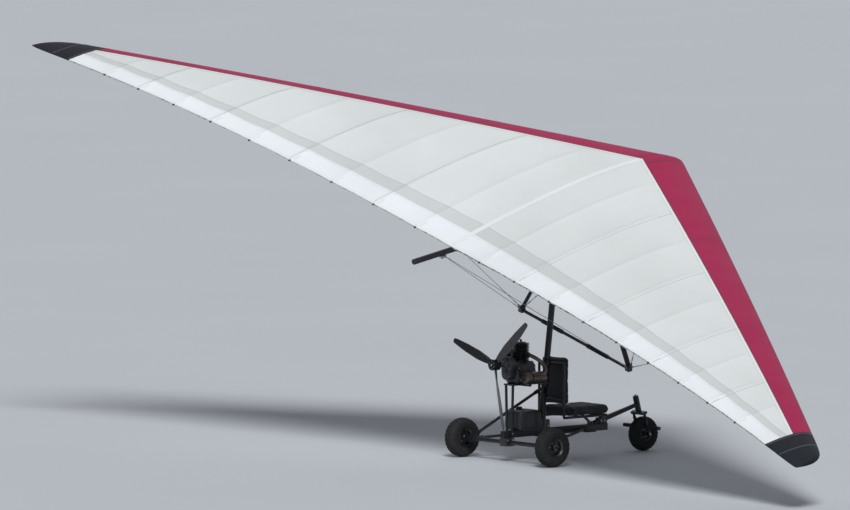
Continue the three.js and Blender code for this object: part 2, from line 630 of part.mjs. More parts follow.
function hangBolt() {
  const { half, headR } = HANG_BOLT;
  return join(
    rod(at(0, -half, 0), at(0, half, 0), HANG.boltR, 20),
    ...SIDES.map(([, s]) => rod(at(0, s * (CHEEK.outer + GAP), 0), at(0, s * half, 0), headR, 6)),
  );
}

add(hang, 'hang_block', hangBlock(), castAlloy);
add(hang, 'hang_bolt', hangBolt(), steel);

const wing = group(hang, 0, 0, KEEL_ABOVE_BOLT);
wing.rotation.x = BANK_RIGHT;

// Keel tube with a collar each side of the hang block
function keelTube() {
  const start = HANG_BLOCK.half + GAP;
  const end = start + KEEL_COLLAR.length;
  const radius = KEEL.radius + KEEL_COLLAR.wall;
  const collars = [1, -1].map((s) => rod(at(s * start, 0, 0), at(s * end, 0, 0), radius, 24));
  return join(rod(at(KEEL.rear, 0, 0), at(KEEL.front, 0, 0), KEEL.radius, 24), ...collars);
}

const keelCutter = rod(at(KEEL.rear, 0, 0), at(KEEL.front, 0, 0), KEEL.radius + GAP, 24);

add(wing, 'keel_tube', keelTube(), blackTube);

// Sail sections lie across the span at distance y from the keel
const mix = (a, b, t) => a + (b - a) * t;
const leadingX = (y) => NOSE_X - y * Math.tan(SWEEP) - TIP_BOW * (y / HALF_SPAN) ** 2;
const TIP_TRAILING_X = leadingX(HALF_SPAN) - TIP_CHORD;
const trailingX = (y) => mix(NOSE_X - ROOT_CHORD, TIP_TRAILING_X, (y / HALF_SPAN) ** 1.15);
const chordAt = (y) => leadingX(y) - trailingX(y);

// Height of a rounded wing surface over its chord, 1 at its highest
function arch(t) {
  return 10 * (0.2969 * Math.sqrt(t) - 0.126 * t - 0.3516 * t ** 2 + 0.2843 * t ** 3 - 0.1036 * t ** 4);
}

// A point of the sail: t runs from leading to trailing edge, inset moves it into the sail
function sailPoint(y, t, top, inset = 0) {
  const span = y / HALF_SPAN;
  const chord = chordAt(y);
  const edge = SKIN * 0.9;
  const rise = top
    ? mix(...CAMBER.top, span) * chord * arch(t) + edge * t
    : -mix(...CAMBER.under, span) * chord * arch(t) - edge * t;
  const z = rise + (top ? -inset : inset);
  const along = t * chord;
  const twist = mix(TWIST.root, TWIST.tip, span ** 1.2);
  return at(
    leadingX(y) - along * Math.cos(twist) - z * Math.sin(twist),
    y,
    CHORD_Z + along * Math.sin(twist) + z * Math.cos(twist),
  );
}

const bandEnd = (y, table) => mix(...table, y / HALF_SPAN) / chordAt(y);
const steps = (from, to, count, ease = 1) =>
  Array.from({ length: count + 1 }, (_, i) => mix(from, to, (i / count) ** ease));

// White part: back from the band over the top, round the trailing edge and back below
function sailLoop(y) {
  const seam = 0.6 / chordAt(y);
  const [topStart, underStart] = [bandEnd(y, BAND.top) + seam, bandEnd(y, BAND.under) + seam];
  const innerEnd = 0.86;
  return [
    ...steps(topStart, 1, 9).map((t) => sailPoint(y, t, true)),
    ...steps(1, underStart, 6).map((t) => sailPoint(y, t, false)),
    ...steps(underStart, innerEnd, 5).map((t) => sailPoint(y, t, false, SKIN)),
    ...steps(innerEnd, topStart, 8).map((t) => sailPoint(y, t, true, SKIN)),
  ];
}

// Red part: round the leading edge, over the top and a short way below
function bandLoop(y) {
  const [topEnd, underEnd] = [bandEnd(y, BAND.top), bandEnd(y, BAND.under)];
  const innerStart = 0.035;
  return [
    ...steps(topEnd, 0, 9, 0.6).map((t) => sailPoint(y, t, true)),
    ...steps(0, underEnd, 5, 1.7).slice(1).map((t) => sailPoint(y, t, false)),
    ...steps(underEnd, innerStart, 3).map((t) => sailPoint(y, t, false, SKIN)),
    ...steps(innerStart, topEnd, 7).map((t) => sailPoint(y, t, true, SKIN)),
  ];
}

function tipLoop(y, shrink) {
  const outline = [
    ...steps(0, 1, 8, 1.6).map((t) => sailPoint(y, t, true)),
    ...steps(1, 0, 6, 0.7).slice(0, -1).map((t) => sailPoint(y, t, false)),
  ];
  const rear = sailPoint(y, 0.97, true);
  return outline.map((p) => p.lerp(rear, shrink));
}

const mirrorY = (loops, s) => loops.map((loop) => loop.map((p) => at(p.x, s * p.y, p.z)));
const spanStations = (from, count) => steps(from, TIP_START, count);

// Opening below the sail that the hang block turns in
function hangOpening() {
  return rod(at(-HANG_OPENING.half, 0, 0), at(HANG_OPENING.half, 0, 0), HANG_OPENING.radius, 20);
}

for (const [side, s] of SIDES) {
  const sail = spanStations(GAP / 2, SAIL_BAYS).map(sailLoop);
  add(wing, `sail_${side}`, cut(toSolid(loft(mirrorY(sail, s))), hangOpening()), whiteCloth);
  const band = spanStations(NOSE_CONE_HALF + GAP, SAIL_BAYS).map(bandLoop);
  add(wing, `leading_edge_${side}`, loft(mirrorY(band, s)), redCloth);
  const tip = TIP_ROWS.map(([y, shrink]) => tipLoop(y, shrink));
  add(wing, `tip_${side}`, loft(mirrorY(tip, s)), darkCloth);
}

// Nose cone: the two bands' sections brought together over the keel's end
function noseCone() {
  const between = NOSE_CONE_HALF / 2;
  const rows = [[-1, NOSE_CONE_HALF], [-1, between], [1, 0], [1, between], [1, NOSE_CONE_HALF]];
  const loops = rows.map(([s, y]) => bandLoop(y).map((p) => at(p.x, s * p.y, p.z)));
  return loft(loops);
}

function nosePlate() {
  const { rear, behindKeelEnd, halfWidth, play } = NOSE_PLATE;
  const top = sailPoint(0, (NOSE_X - rear) / ROOT_CHORD, false).z - play;
  return block(rear, KEEL.front - behindKeelEnd, -halfWidth, halfWidth, KEEL.radius + GAP, top);
}

// Both halves' middle as one piece, a gap lower, to trim what meets the sail from below
function sailTrimmer() {
  const [root, next] = spanStations(GAP / 2, SAIL_BAYS);
  const rows = [[next, -next], [root, 0], [next, next]];
  return loft(rows.map(([y, place]) => sailLoop(y).map((p) => at(p.x, place, p.z - GAP))));
}

// Cloth pocket that holds the sail down to the keel tube behind the hang block
function keelPocket() {
  const { front, rear, radius, halfWeb } = POCKET;
  const stations = steps(NOSE_X - front, NOSE_X - rear, 8).map((x) => sailPoint(0, x / ROOT_CHORD, false));
  const intoSkin = SKIN / 2;
  const outline = [...stations.map((p) => at(p.x, 0, p.z + intoSkin)), at(rear, 0, 0), at(front, 0, 0)];
  const web = loft([halfWeb, -halfWeb].map((y) => outline.map((p) => at(p.x, y, p.z))));
  const sleeve = rod(at(rear, 0, 0), at(front, 0, 0), radius, 24);
  return cut(join(sleeve, web), keelCutter, sailTrimmer());
}

add(wing, 'keel_pocket', keelPocket(), whiteCloth);
add(wing, 'nose_cone', noseCone(), redCloth);
add(wing, 'nose_plate', nosePlate(), bareAluminium);

// Control frame: head on the keel, two faired uprights and the bar with its end fittings
function headLug(s, grow = 0) {
  const y = s * HEAD_LUG.y;
  const [halfLength, halfWidth] = [HEAD_LUG.halfLength + grow, HEAD_LUG.halfWidth + grow];
  return block(APEX.x - halfLength, APEX.x + halfLength, y - halfWidth, y + halfWidth,
    HEAD_LUG.low - grow, HEAD_LUG.high);
}

function frameHead() {
  const { halfLength, halfWidth, low, wall } = FRAME_HEAD;
  const body = join(
    block(APEX.x - halfLength, APEX.x + halfLength, -halfWidth, halfWidth, low, KEEL.radius + wall),
    ...SIDES.map(([, s]) => headLug(s)),
  );
  const reach = halfLength + OVER;
  const bore = rod(at(APEX.x - reach, 0, 0), at(APEX.x + reach, 0, 0), KEEL.radius + GAP, 24);
  return cut(body, bore);
}

function upright(s) {
  const { half, fairing, topOut, topBelow, lowIn, lowAbove } = UPRIGHT;
  const top = at(APEX.x, s * (APEX.y + topOut), APEX.z - topBelow);
  const low = at(BAR.x, s * (BAR.halfLength - lowIn), BAR.z + lowAbove);
  const round = rod(at(0, 0, 0), at(0, 0, low.distanceTo(top)), half, 14);
  round.scale(fairing, 1, 1);
  const turn = new THREE.Quaternion().setFromUnitVectors(at(0, 0, 1), top.clone().sub(low).normalize());
  return round.applyQuaternion(turn).translate(low.x, low.y, low.z);
}

function barEnd(s, grow = 0) {
  const y = s * BAR.halfLength;
  const [halfLength, halfWidth] = [BAR_END.halfLength + grow, BAR_END.halfWidth + grow];
  return block(BAR.x - halfLength, BAR.x + halfLength, y - halfWidth, y + halfWidth,
    BAR.z - BAR_END.below - grow, BAR.z + BAR_END.above + grow);
}

function controlBar() {
  const bar = rod(at(BAR.x, -BAR.halfLength, BAR.z), at(BAR.x, BAR.halfLength, BAR.z), BAR.radius, 18);
  return join(bar, barEnd(1), barEnd(-1));
}

add(wing, 'frame_head', frameHead(), castAlloy);
add(wing, 'control_bar', controlBar(), blackTube);
for (const [side, s] of SIDES) {
  const post = cut(toSolid(upright(s)), headLug(s, GAP), barEnd(s, GAP));
  add(wing, `upright_${side}`, post, blackTube);
}

// Lower wires from the bar's end fittings to nose, side junctions and keel end
for (const [side, s] of SIDES) {
  const { ahead, out, above } = WIRE_START;
  const low = BAR.z + above;
  const onKeel = ({ x, y }) => at(x, s * y, -KEEL.radius + 1);
  const { t, y: sideY } = WIRE_ENDS.side;
  const ends = [
    // which wire, where it leaves the fitting, where it meets the wing
    ['front', at(BAR.x + ahead, s * BAR.halfLength, low), onKeel(WIRE_ENDS.front)],
    ['rear', at(BAR.x - ahead, s * BAR.halfLength, low), onKeel(WIRE_ENDS.rear)],
    ['side', at(BAR.x, s * (BAR.halfLength + out), low),
      sailPoint(sideY, t, false).setY(s * sideY).add(at(0, 0, -WIRE_R))],
  ];
  for (const [which, start, end] of ends) {
    const wire = toSolid(rod(start, end, WIRE_R, 8));
    add(wing, `wire_${which}_${side}`, cut(wire, keelCutter, barEnd(s, GAP)), steel);
  }
}

export default model;
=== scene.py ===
"""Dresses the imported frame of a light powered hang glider: a topless flexwing hung over a
single-seat chassis on three wheels. Lengths are in metres, in the frame's own axes:
+X forward, +Y left, +Z up."""
import itertools
import json
import math

import bmesh
import bpy
from mathutils import Matrix, Vector
from mathutils.bvhtree import BVHTree


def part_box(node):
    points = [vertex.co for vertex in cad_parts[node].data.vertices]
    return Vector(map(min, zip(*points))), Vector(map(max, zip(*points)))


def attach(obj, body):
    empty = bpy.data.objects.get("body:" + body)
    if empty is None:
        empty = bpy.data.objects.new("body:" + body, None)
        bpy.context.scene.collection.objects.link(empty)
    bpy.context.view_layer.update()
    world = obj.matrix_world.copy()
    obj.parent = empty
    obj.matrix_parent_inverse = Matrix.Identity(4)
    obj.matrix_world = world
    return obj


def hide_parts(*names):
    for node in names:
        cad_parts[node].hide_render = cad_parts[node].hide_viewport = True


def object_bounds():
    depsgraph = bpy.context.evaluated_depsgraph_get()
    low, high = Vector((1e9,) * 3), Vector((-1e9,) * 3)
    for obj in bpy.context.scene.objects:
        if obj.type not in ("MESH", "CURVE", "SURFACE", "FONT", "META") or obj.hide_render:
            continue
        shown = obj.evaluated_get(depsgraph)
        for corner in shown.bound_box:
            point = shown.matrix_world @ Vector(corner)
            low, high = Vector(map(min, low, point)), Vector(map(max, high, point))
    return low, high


bl_info = {
    "name": "Powered hang glider",
    "version": (1, 0, 0),
    "blender": (4, 5, 0),
    "location": "3D View > Sidebar > Hang glider",
    "description": "Builds the cloth, fittings, engine, wheels and finishes of a light powered hang glider",
    "category": "Object",
}

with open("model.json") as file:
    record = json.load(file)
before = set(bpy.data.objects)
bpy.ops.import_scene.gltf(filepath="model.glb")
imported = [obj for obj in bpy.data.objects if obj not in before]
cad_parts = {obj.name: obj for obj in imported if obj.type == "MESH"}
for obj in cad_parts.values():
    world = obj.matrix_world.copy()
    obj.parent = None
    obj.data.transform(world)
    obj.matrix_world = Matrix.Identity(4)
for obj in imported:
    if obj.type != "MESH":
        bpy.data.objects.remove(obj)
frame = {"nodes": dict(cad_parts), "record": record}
CAD_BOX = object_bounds()

# Places that the frame gives
HANG_POINT = Vector((0.22, 0, 1.82))
KEEL_ABOVE_BOLT = 0.09
NOSE_UP = math.radians(11)
BANK_RIGHT = math.radians(18)
RAKE = math.radians(15)
MAST_FOOT = Vector((0, 0, 0.084))
MAST_TOP = Vector((0.208, 0, 1.758))
MAST_R = 0.027
REAR_AXLE = Vector((-0.38, 0, -0.03))
FRONT_AXLE = Vector((1.17, 0, -0.05))
HALF_TRACK = 0.6
SHAFT_Z = 0.65
PROP_CENTRE = Vector((-0.52, 0, SHAFT_Z))
CRANK_Z = 0.565
CASE_LOW, CASE_TOP = 0.4745, 0.6643
CASE_FRONT = -0.13
CYLINDER_X = -0.225
PORT_Z = CASE_TOP + 0.06
EXHAUST_Y = -0.2
FLOOR_Z = -0.2

# The photo's width over its height, and the room left round the aircraft
PHOTO_SHAPE = 850 / 510
MARGIN = 1.08

# Axes of the bodies whose pieces are measured from their own joint
HERE = Matrix.Identity(4)
HANG = Matrix.Translation(HANG_POINT) @ Matrix.Rotation(-NOSE_UP, 4, "Y")
WING = HANG @ Matrix.Translation((0, 0, KEEL_ABOVE_BOLT)) @ Matrix.Rotation(BANK_RIGHT, 4, "X")
FORK = Matrix.Translation(FRONT_AXLE) @ Matrix.Rotation(-RAKE, 4, "Y")
PLACES = {"wing": WING, "hang_joint": HANG, "front_fork": FORK}

# The wing in its own axes: the keel is the x axis, and the hang point is at x = 0
KEEL_R = 0.025
NOSE_X = 1.45
HALF_SPAN = 5.0
SWEEP = math.radians(29)
TIP_BOW = 0.115
ROOT_CHORD = 2.7
TIP_CHORD = 0.34
CHORD_Z = 0.07
EDGE = 0.0045
TIP_START = 4.55
NOSE_CONE_HALF = 0.07
CAMBER_TOP = (0.085, 0.105)
CAMBER_UNDER = (0.008, 0.02)
TWIST_ROOT, TWIST_TIP = math.radians(-0.75), math.radians(8.5)
TOP_BATTENS = [0.42, 0.92, 1.42, 1.92, 2.4, 2.86, 3.3, 3.72, 4.12]
UNDER_BATTENS = [0.92, 1.92, 2.86, 3.72]
BATTEN_HALF = 0.016
BAR_X, BAR_Z, BAR_HALF = 0.3, -1.28, 0.7
SIDE_WIRE_Y, SIDE_WIRE_T = 2.9, 0.17
CATCH_X = 1.33
APEX = Vector((0.25, 0.06, -0.056))
SIDES = (("left", 1), ("right", -1))

# Widths of the red sleeve, of the panel along the trailing edge on top and below, and of the
# band ahead of it on top, each at the keel and at the tip. On top, the panel's brighter cloth is a
# painted highlight and the band's greyer cloth is painted shade
BAND_TOP = (0.5, 0.2)
BAND_UNDER = (0.17, 0.11)
REAR_PANEL = {True: (0.24, 0.16), False: (0.3, 0.12)}
PAINTED_SHADE_BAND = (0.17, 0.08)

# Thickness of the cloth and of a tape on it, how far a tape lies above the cloth's middle, and
# the hair's width between two cloths that meet
CLOTH, TAPE = 0.0012, 0.0009
ON_CLOTH = CLOTH * 0.5
GAP = 0.0006

# Half length and half width of the opening below the sail that the hang block turns in
OPENING = (0.1, 0.075)

# Parts of the frame whose edges are rounded off, and by how much, and the bend from which an
# edge of the frame's parts stays sharp
EDGED = {"rest_pad_rear": 0.002, "rest_pad_front": 0.002, "mast_foot": 0.002, "axle_clamp": 0.002,
         "nose_plate": 0.0015, "frame_head": 0.0015, "hang_block": 0.0015, "control_bar": 0.0015,
         "front_fork": 0.001, "engine_mount": 0.001}
SHARP_FROM = math.radians(38)


# Settings

COLOUR = {"subtype": "COLOR", "size": 3, "min": 0, "max": 1}
LENGTH = {"subtype": "DISTANCE", "unit": "LENGTH"}


class GliderSail(bpy.types.PropertyGroup):
    cloth_color: bpy.props.FloatVectorProperty(
        name="Sailcloth", description="Colour of the white sailcloth",
        default=(0.74, 0.77, 0.77), **COLOUR)
    # The rear panel's brighter colour is a painted highlight along the trailing edge
    painted_highlight_color: bpy.props.FloatVectorProperty(
        name="Rear panel", description="Colour of the brighter cloth along the trailing edge",
        default=(0.86, 0.89, 0.94), **COLOUR)
    band_color: bpy.props.FloatVectorProperty(
        name="Leading edge", description="Colour of the leading edge's cloth",
        default=(0.385, 0.017, 0.083), **COLOUR)
    tip_color: bpy.props.FloatVectorProperty(
        name="Tips", description="Colour of the tips' cloth", default=(0.016, 0.018, 0.026), **COLOUR)
    batten_height: bpy.props.FloatProperty(
        name="Batten height", description="How far a batten raises the cloth",
        min=0, max=0.01, default=0.0035, **LENGTH)
    billow: bpy.props.FloatProperty(
        name="Billow", description="How far the cloth sinks between two battens",
        min=0, max=0.03, default=0.009, **LENGTH)
    scallop: bpy.props.FloatProperty(
        name="Scallop", description="How far the trailing edge curves in between two battens",
        min=0, max=0.05, default=0.014, **LENGTH)


class GliderChassis(bpy.types.PropertyGroup):
    tube_color: bpy.props.FloatVectorProperty(
        name="Tubes", description="Colour of the coated tubes", default=(0.012, 0.012, 0.016), **COLOUR)
    tread_depth: bpy.props.FloatProperty(
        name="Tread depth", description="Depth of the grooves in the tyres",
        min=0, max=0.01, default=0.0035, **LENGTH)


class GliderSeat(bpy.types.PropertyGroup):
    cloth_color: bpy.props.FloatVectorProperty(
        name="Seat cloth", description="Colour of the seat's cloth", default=(0.02, 0.021, 0.026), **COLOUR)
    swell: bpy.props.FloatProperty(
        name="Swell", description="How far the filling may push the cloth out",
        min=0, max=0.03, default=0.012, **LENGTH)


class GliderStage(bpy.types.PropertyGroup):
    floor_color: bpy.props.FloatVectorProperty(
        name="Floor", description="Colour of the floor", default=(0.57, 0.595, 0.635), **COLOUR)
    azimuth: bpy.props.FloatProperty(
        name="Azimuth", description="The camera's direction round the aircraft",
        subtype="ANGLE", default=math.radians(-40))
    elevation: bpy.props.FloatProperty(
        name="Elevation", description="The camera's height above the horizon, as an angle",
        subtype="ANGLE", default=math.radians(5))
    distance: bpy.props.FloatProperty(
        name="Distance", description="How far off the camera stands", min=10, default=150, **LENGTH)


# Shapes

def mix(a, b, t):
    return a + (b - a) * t


def clamp01(t):
    return min(max(t, 0.0), 1.0)


def ease(t):
    t = clamp01(t)
    return t * t * (3 - 2 * t)


def steps(start, end, count, power=1.0):
    return [mix(start, end, (i / count) ** power) for i in range(count + 1)]


def runs(marks, counts):
    """Places from mark to mark, with each run cut into its own count of steps."""
    places = [marks[0]]
    for start, end, count in zip(marks, marks[1:], counts):
        places += steps(start, end, count)[1:]
    return places


def circle(count, shift=0.0):
    """Angles of equal steps round a circle."""
    return [2 * math.pi * (k + shift) / count for k in range(count)]


def polar(radius, angle):
    return radius * math.cos(angle), radius * math.sin(angle)


def aim(point, axis):
    """Matrix that brings the Z axis to the given axis, at the point."""
    turn = Vector((0, 0, 1)).rotation_difference(Vector(axis).normalized())
    return Matrix.Translation(point) @ turn.to_matrix().to_4x4()


def spin(angle, axis="Z"):
    return Matrix.Rotation(angle, 4, axis)


def add(name, data):
    """New object in the scene."""
    made = bpy.data.objects.new(name, data)
    bpy.context.scene.collection.objects.link(made)
    return made


class Shape:
    """Points and faces of one piece, gathered from swept, turned and boxed parts."""

    def __init__(self):
        self.points, self.faces = [], []

    def take(self, points, faces, place=HERE):
        first = len(self.points)
        self.points += [place @ Vector(p) for p in points]
        self.faces += [[first + i for i in face] for face in faces]

    def skin(self, rows, ring=True, caps=True, place=HERE):
        """Skin over rows of equally many points; ring closes each row, caps the two ends."""
        count = len(rows[0])
        faces = []
        for i, k in itertools.product(range(len(rows) - 1), range(count if ring else count - 1)):
            a, b = i * count + k, i * count + (k + 1) % count
            faces.append([a, b, b + count, a + count])
        if caps and ring:
            last = (len(rows) - 1) * count
            faces += [list(range(count)), list(range(last, last + count))]
        self.take([p for row in rows for p in row], faces, place)

    def turned(self, profile, segments=48, place=HERE):
        """Turned about the Z axis; profile rows are (radius, z), ends on the axis or a closed ring."""
        rows = [[(*polar(r, a), z) for a in circle(segments)] for r, z in profile]
        self.skin(rows, caps=profile[0] != profile[-1], place=place)

    def disc(self, radius, height, segments, place, crown=0.0):
        """Round plate that stands on its place, with its middle raised by the crown."""
        self.turned([(0, 0), (radius, 0), (radius, height), (0, height + crown)], segments, place)

    def tube(self, path, radius, sides=20, place=HERE, round_end=0.0):
        """Round bar along a path; radius is one number or one for each point."""
        path = [Vector(p) for p in path]
        radii = list(radius) if hasattr(radius, "__len__") else [radius] * len(path)
        if round_end:
            for end, inward in ((0, 1), (-1, -2)):
                along = (path[inward] - path[end]).normalized() * round_end
                place_at = 1 if end == 0 else len(path) - 1
                path.insert(place_at, path[end] + along)
                radii.insert(place_at, radii[end])
                radii[end] -= round_end
        rows = []
        side = None
        for i, point in enumerate(path):
            ahead = path[min(i + 1, len(path) - 1)] - path[max(i - 1, 0)]
            ahead.normalize()
            if side is None:
                side = ahead.orthogonal().normalized()
            side = (side - ahead * side.dot(ahead)).normalized()
            other = ahead.cross(side)
            ring = (side * math.cos(a) + other * math.sin(a) for a in circle(sides))
            rows.append([point + out * radii[i] for out in ring])
        self.skin(rows, place=place)

    def box(self, low, high, bevel=0.002, place=HERE, rounds=2):
        """Box with rounded edges."""
        made = bmesh.new()
        bmesh.ops.create_cube(made, size=1)
        for vert in made.verts:
            vert.co = [mix(a, b, c + 0.5) for a, b, c in zip(Vector(low), Vector(high), vert.co)]
        bmesh.ops.bevel(made, geom=made.edges[:], offset=bevel, segments=rounds, profile=0.5,
                        affect="EDGES")
        made.verts.index_update()
        self.take([v.co.copy() for v in made.verts], [[v.index for v in f.verts] for f in made.faces], place)
        made.free()

    def bolt(self, point, axis, radius=0.006, place=HERE):
        """Hexagon head on a washer, standing on a face at the point."""
        spot = place @ aim(point, axis)
        z0, z1 = radius * 0.25, radius * 1.05
        self.disc(radius * 1.35, z0, 20, spot)
        sides = [(0, z0), (radius, z0), (radius, z1 - radius * 0.15), (radius * 0.85, z1), (0, z1)]
        self.turned(sides, 6, spot)

    def side_bolts(self, rows):
        """Bolts on both sides; each row has places along x, distance from the middle, heights
        and the size of the head."""
        for xs, y, zs, radius in rows:
            for x, z, s in itertools.product(xs, zs, (1, -1)):
                self.bolt((x, s * y, z), (0, s, 0), radius)

    def hoop(self, centre, axis, radius, thick, place=HERE, segments=28, sides=8):
        """Ring of round wire."""
        profile = [(radius + x, z) for x, z in (polar(thick, a) for a in circle(sides))]
        self.turned(profile + [profile[0]], segments, place @ aim(centre, axis))

    def collar(self, centre, axis, radius, half, sides=24, edge=None, thinner=0.002):
        """Ring clamp or sleeve round a tube, a little thinner over its two edges."""
        centre, along = Vector(centre), Vector(axis).normalized()
        edge = edge or 0.1 * half
        self.tube([centre + along * d for d in (-half, edge - half, half - edge, half)],
                  [radius - thinner, radius, radius, radius - thinner], sides)

    def ribbon(self, path, width, thick):
        """Flat webbing along a path of points, each with the way its face looks. Its width runs
        along x."""
        half = Vector((width / 2, 0, 0))
        rows = []
        for point, up in path:
            point, up = Vector(point), Vector(up).normalized() * thick
            rows.append([point - half, point + half, point + half + up, point - half + up])
        self.skin(rows)

    def build(self, name, finish, body, sharp=None, slot=None, replaces=()):
        """Makes the piece in the place of its body, with its finish."""
        made = bmesh.new()
        place = PLACES.get(body, HERE)
        verts = [made.verts.new(place @ p) for p in self.points]
        for face in self.faces:
            corner = [verts[i] for i in dict.fromkeys(face)]
            if len(corner) > 2 and not made.faces.get(corner):
                made.faces.new(corner)
        bmesh.ops.remove_doubles(made, verts=made.verts[:], dist=1e-6)
        bmesh.ops.dissolve_degenerate(made, edges=made.edges[:], dist=1e-7)
        bmesh.ops.recalc_face_normals(made, faces=made.faces[:])
        mesh = bpy.data.meshes.new(name)
        made.to_mesh(mesh)
        made.free()
        mesh.materials.append(material(finish))
        return settle(add(name, mesh), finish, body, sharp or (50 if finish in TAPES else 35), slot, replaces)


def settle(piece, finish, body, sharp, slot=None, replaces=()):
    """Smooths the piece between its sharp edges, and says what it rides on and stands for."""
    piece.data.shade_smooth()
    piece.data.set_sharp_from_angle(angle=math.radians(sharp))
    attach(piece, body)
    slot or finish_table()[finish][0]
    if replaces:
        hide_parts(*replaces)
    return piece


def bake(piece):
    """Puts the result of the piece's modifiers in its mesh."""
    bpy.context.view_layer.update()
    done = bpy.data.meshes.new_from_object(piece.evaluated_get(bpy.context.evaluated_depsgraph_get()))
    piece.modifiers.clear()
    piece.data = done


def cloth_sheet(name, rows, inward, finish, replaces=(), hole=None, ring=False,
                zones=()):
    """Sheet of cloth through the rows, thickened on its inner side. Inward leads from the middle
    of a row to its inner side, hole says which places are cut out, and zones are the places in a
    row where other cloths start, each with its finish."""
    count = len(rows[0])
    shape = Shape()
    shape.skin(rows, ring=ring, caps=False)
    middles = [sum(row, Vector()) / count + inward for row in rows]
    made = bmesh.new()
    verts = [made.verts.new(p) for p in shape.points]
    for face in shape.faces:
        corners = [shape.points[i] for i in face]
        centre = sum(corners, Vector()) / 4
        normal = (corners[2] - corners[0]).cross(corners[3] - corners[1])
        if (hole and hole(centre)) or normal.length < 1e-9:
            continue
        row, column = divmod(face[0], count)
        if normal.dot(centre - middles[row]) < 0:
            face = face[::-1]
        done = made.faces.new([verts[i] for i in face])
        done.material_index = sum(column >= start for start, other in zones)
    bmesh.ops.remove_doubles(made, verts=made.verts[:], dist=1e-6)
    bmesh.ops.delete(made, geom=[v for v in made.verts if not v.link_faces], context="VERTS")
    mesh = bpy.data.meshes.new(name)
    made.to_mesh(mesh)
    made.free()
    mesh.transform(WING)
    piece = add(name, mesh)
    for cloth in (finish, *(other for start, other in zones)):
        mesh.materials.append(material(cloth))
    thick = piece.modifiers.new("thick", "SOLIDIFY")
    thick.thickness, thick.offset = CLOTH, -1
    bake(piece)
    settle(piece, finish, "wing", 50, replaces=replaces)


def mast_x(z):
    return MAST_TOP.x * (z - MAST_FOOT.z) / (MAST_TOP.z - MAST_FOOT.z)


def smooth_path(points, count):
    """Smooth curve through the points, with count steps between two of them."""
    points = [Vector(p) for p in points]
    path = []
    for i in range(len(points) - 1):
        a, b, c, d = points[max(i - 1, 0)], points[i], points[i + 1], points[min(i + 2, len(points) - 1)]
        for k in range(count):
            t = k / count
            path.append(0.5 * ((2 * b) + (c - a) * t + (2 * a - 5 * b + 4 * c - d) * t ** 2
                               + (3 * b - a - 3 * c + d) * t ** 3))
    return path + [points[-1]]


# The sail's surface

def leading_x(y):
    return NOSE_X - y * math.tan(SWEEP) - TIP_BOW * (y / HALF_SPAN) ** 2


TIP_TRAILING_X = leading_x(HALF_SPAN) - TIP_CHORD


def trailing_x(y):
    return mix(NOSE_X - ROOT_CHORD, TIP_TRAILING_X, (y / HALF_SPAN) ** 1.15)


def chord_at(y):
    return leading_x(abs(y)) - trailing_x(abs(y))


def along_chord(x, y):
    """Place along the chord at y that lies at x."""
    return (leading_x(abs(y)) - x) / chord_at(y)


def arch(t):
    """Height of a rounded wing surface over its chord, 1 at its highest."""
    return 10 * (0.2969 * math.sqrt(t) - 0.126 * t - 0.3516 * t ** 2 + 0.2843 * t ** 3 - 0.1036 * t ** 4)


def sail_point(y, t, top, lift=0.0, sink=0.0):
    """Point of the sail: t runs from the leading to the trailing edge. Lift moves it out of
    the surface, and sink moves it up or down whichever surface it is on."""
    side, y = (-1 if y < 0 else 1), abs(y)
    span, chord = y / HALF_SPAN, chord_at(y)
    if top:
        z = mix(*CAMBER_TOP, span) * chord * arch(t) + EDGE * t + lift
    else:
        z = -mix(*CAMBER_UNDER, span) * chord * arch(t) - EDGE * t - lift
    z += sink
    twist = mix(TWIST_ROOT, TWIST_TIP, span ** 1.2)
    along = t * chord
    return Vector((leading_x(y) - along * math.cos(twist) - z * math.sin(twist), side * y,
                   CHORD_Z + along * math.sin(twist) + z * math.cos(twist)))


def band_end(y, table, extra=0.0):
    """Place along the chord where the red sleeve ends, or some way behind it."""
    return mix(*table, abs(y) / HALF_SPAN) / chord_at(y) + extra / chord_at(y)


def rear_seam(y, top, ahead=(0, 0)):
    """Place along the chord where the rear panel starts, or how far ahead of it."""
    span = abs(y) / HALF_SPAN
    return 1 - (mix(*REAR_PANEL[top], span) + mix(*ahead, span)) / chord_at(y)


def spread(y, battens):
    """Share of a batten's height at y, and share of the billow between two battens."""
    y = abs(y)
    marks = [0.0, *battens, TIP_START]
    ridge = max(0, *(1 - ((y - b) / BATTEN_HALF) ** 2 for b in battens))
    for low, high in zip(marks, marks[1:]):
        if low <= y <= high:
            return ridge, math.sin(math.pi * (y - low) / (high - low)) ** 2
    return ridge, 0.0


def cloth_point(y, t, top, lift=0.0):
    """Point of the cloth as it lies over its battens."""
    sail = bpy.context.scene.glider_sail
    ridge, sag = spread(y, TOP_BATTENS)
    full = clamp01((t - band_end(y, BAND_TOP)) / 0.12) if top else clamp01((t - 0.1) / 0.1)
    sink = (sail.batten_height * ridge - sail.billow * sag) * full
    rear = ease((t - 0.85) / 0.15)
    moved = t - sail.scallop * sag / chord_at(y) * ease((t - 0.8) / 0.2)
    if not top:
        ridge_under, sag_under = spread(y, UNDER_BATTENS)
        under = (0.5 * sail.billow * sag_under - sail.batten_height * ridge_under) * full
        sink = mix(under, sink, rear)
    return sail_point(y, moved, top, lift, sink)


def span_stations(battens):
    """Places along the span where the cloth's sections lie, closest at the battens."""
    marks = [0.0, *battens, TIP_START]
    found = set(marks)
    for b, share in itertools.product(battens, (-1, -0.6, 0.6, 1)):
        found.add(b + share * BATTEN_HALF)
    for low, high in zip(marks, marks[1:]):
        found |= {mix(low, high, k / 6) for k in range(1, 6)}
    return sorted(y for y in found if 0 <= y <= TIP_START)


def both_sides(stations):
    return [-y for y in reversed(stations) if y > 0] + list(stations)


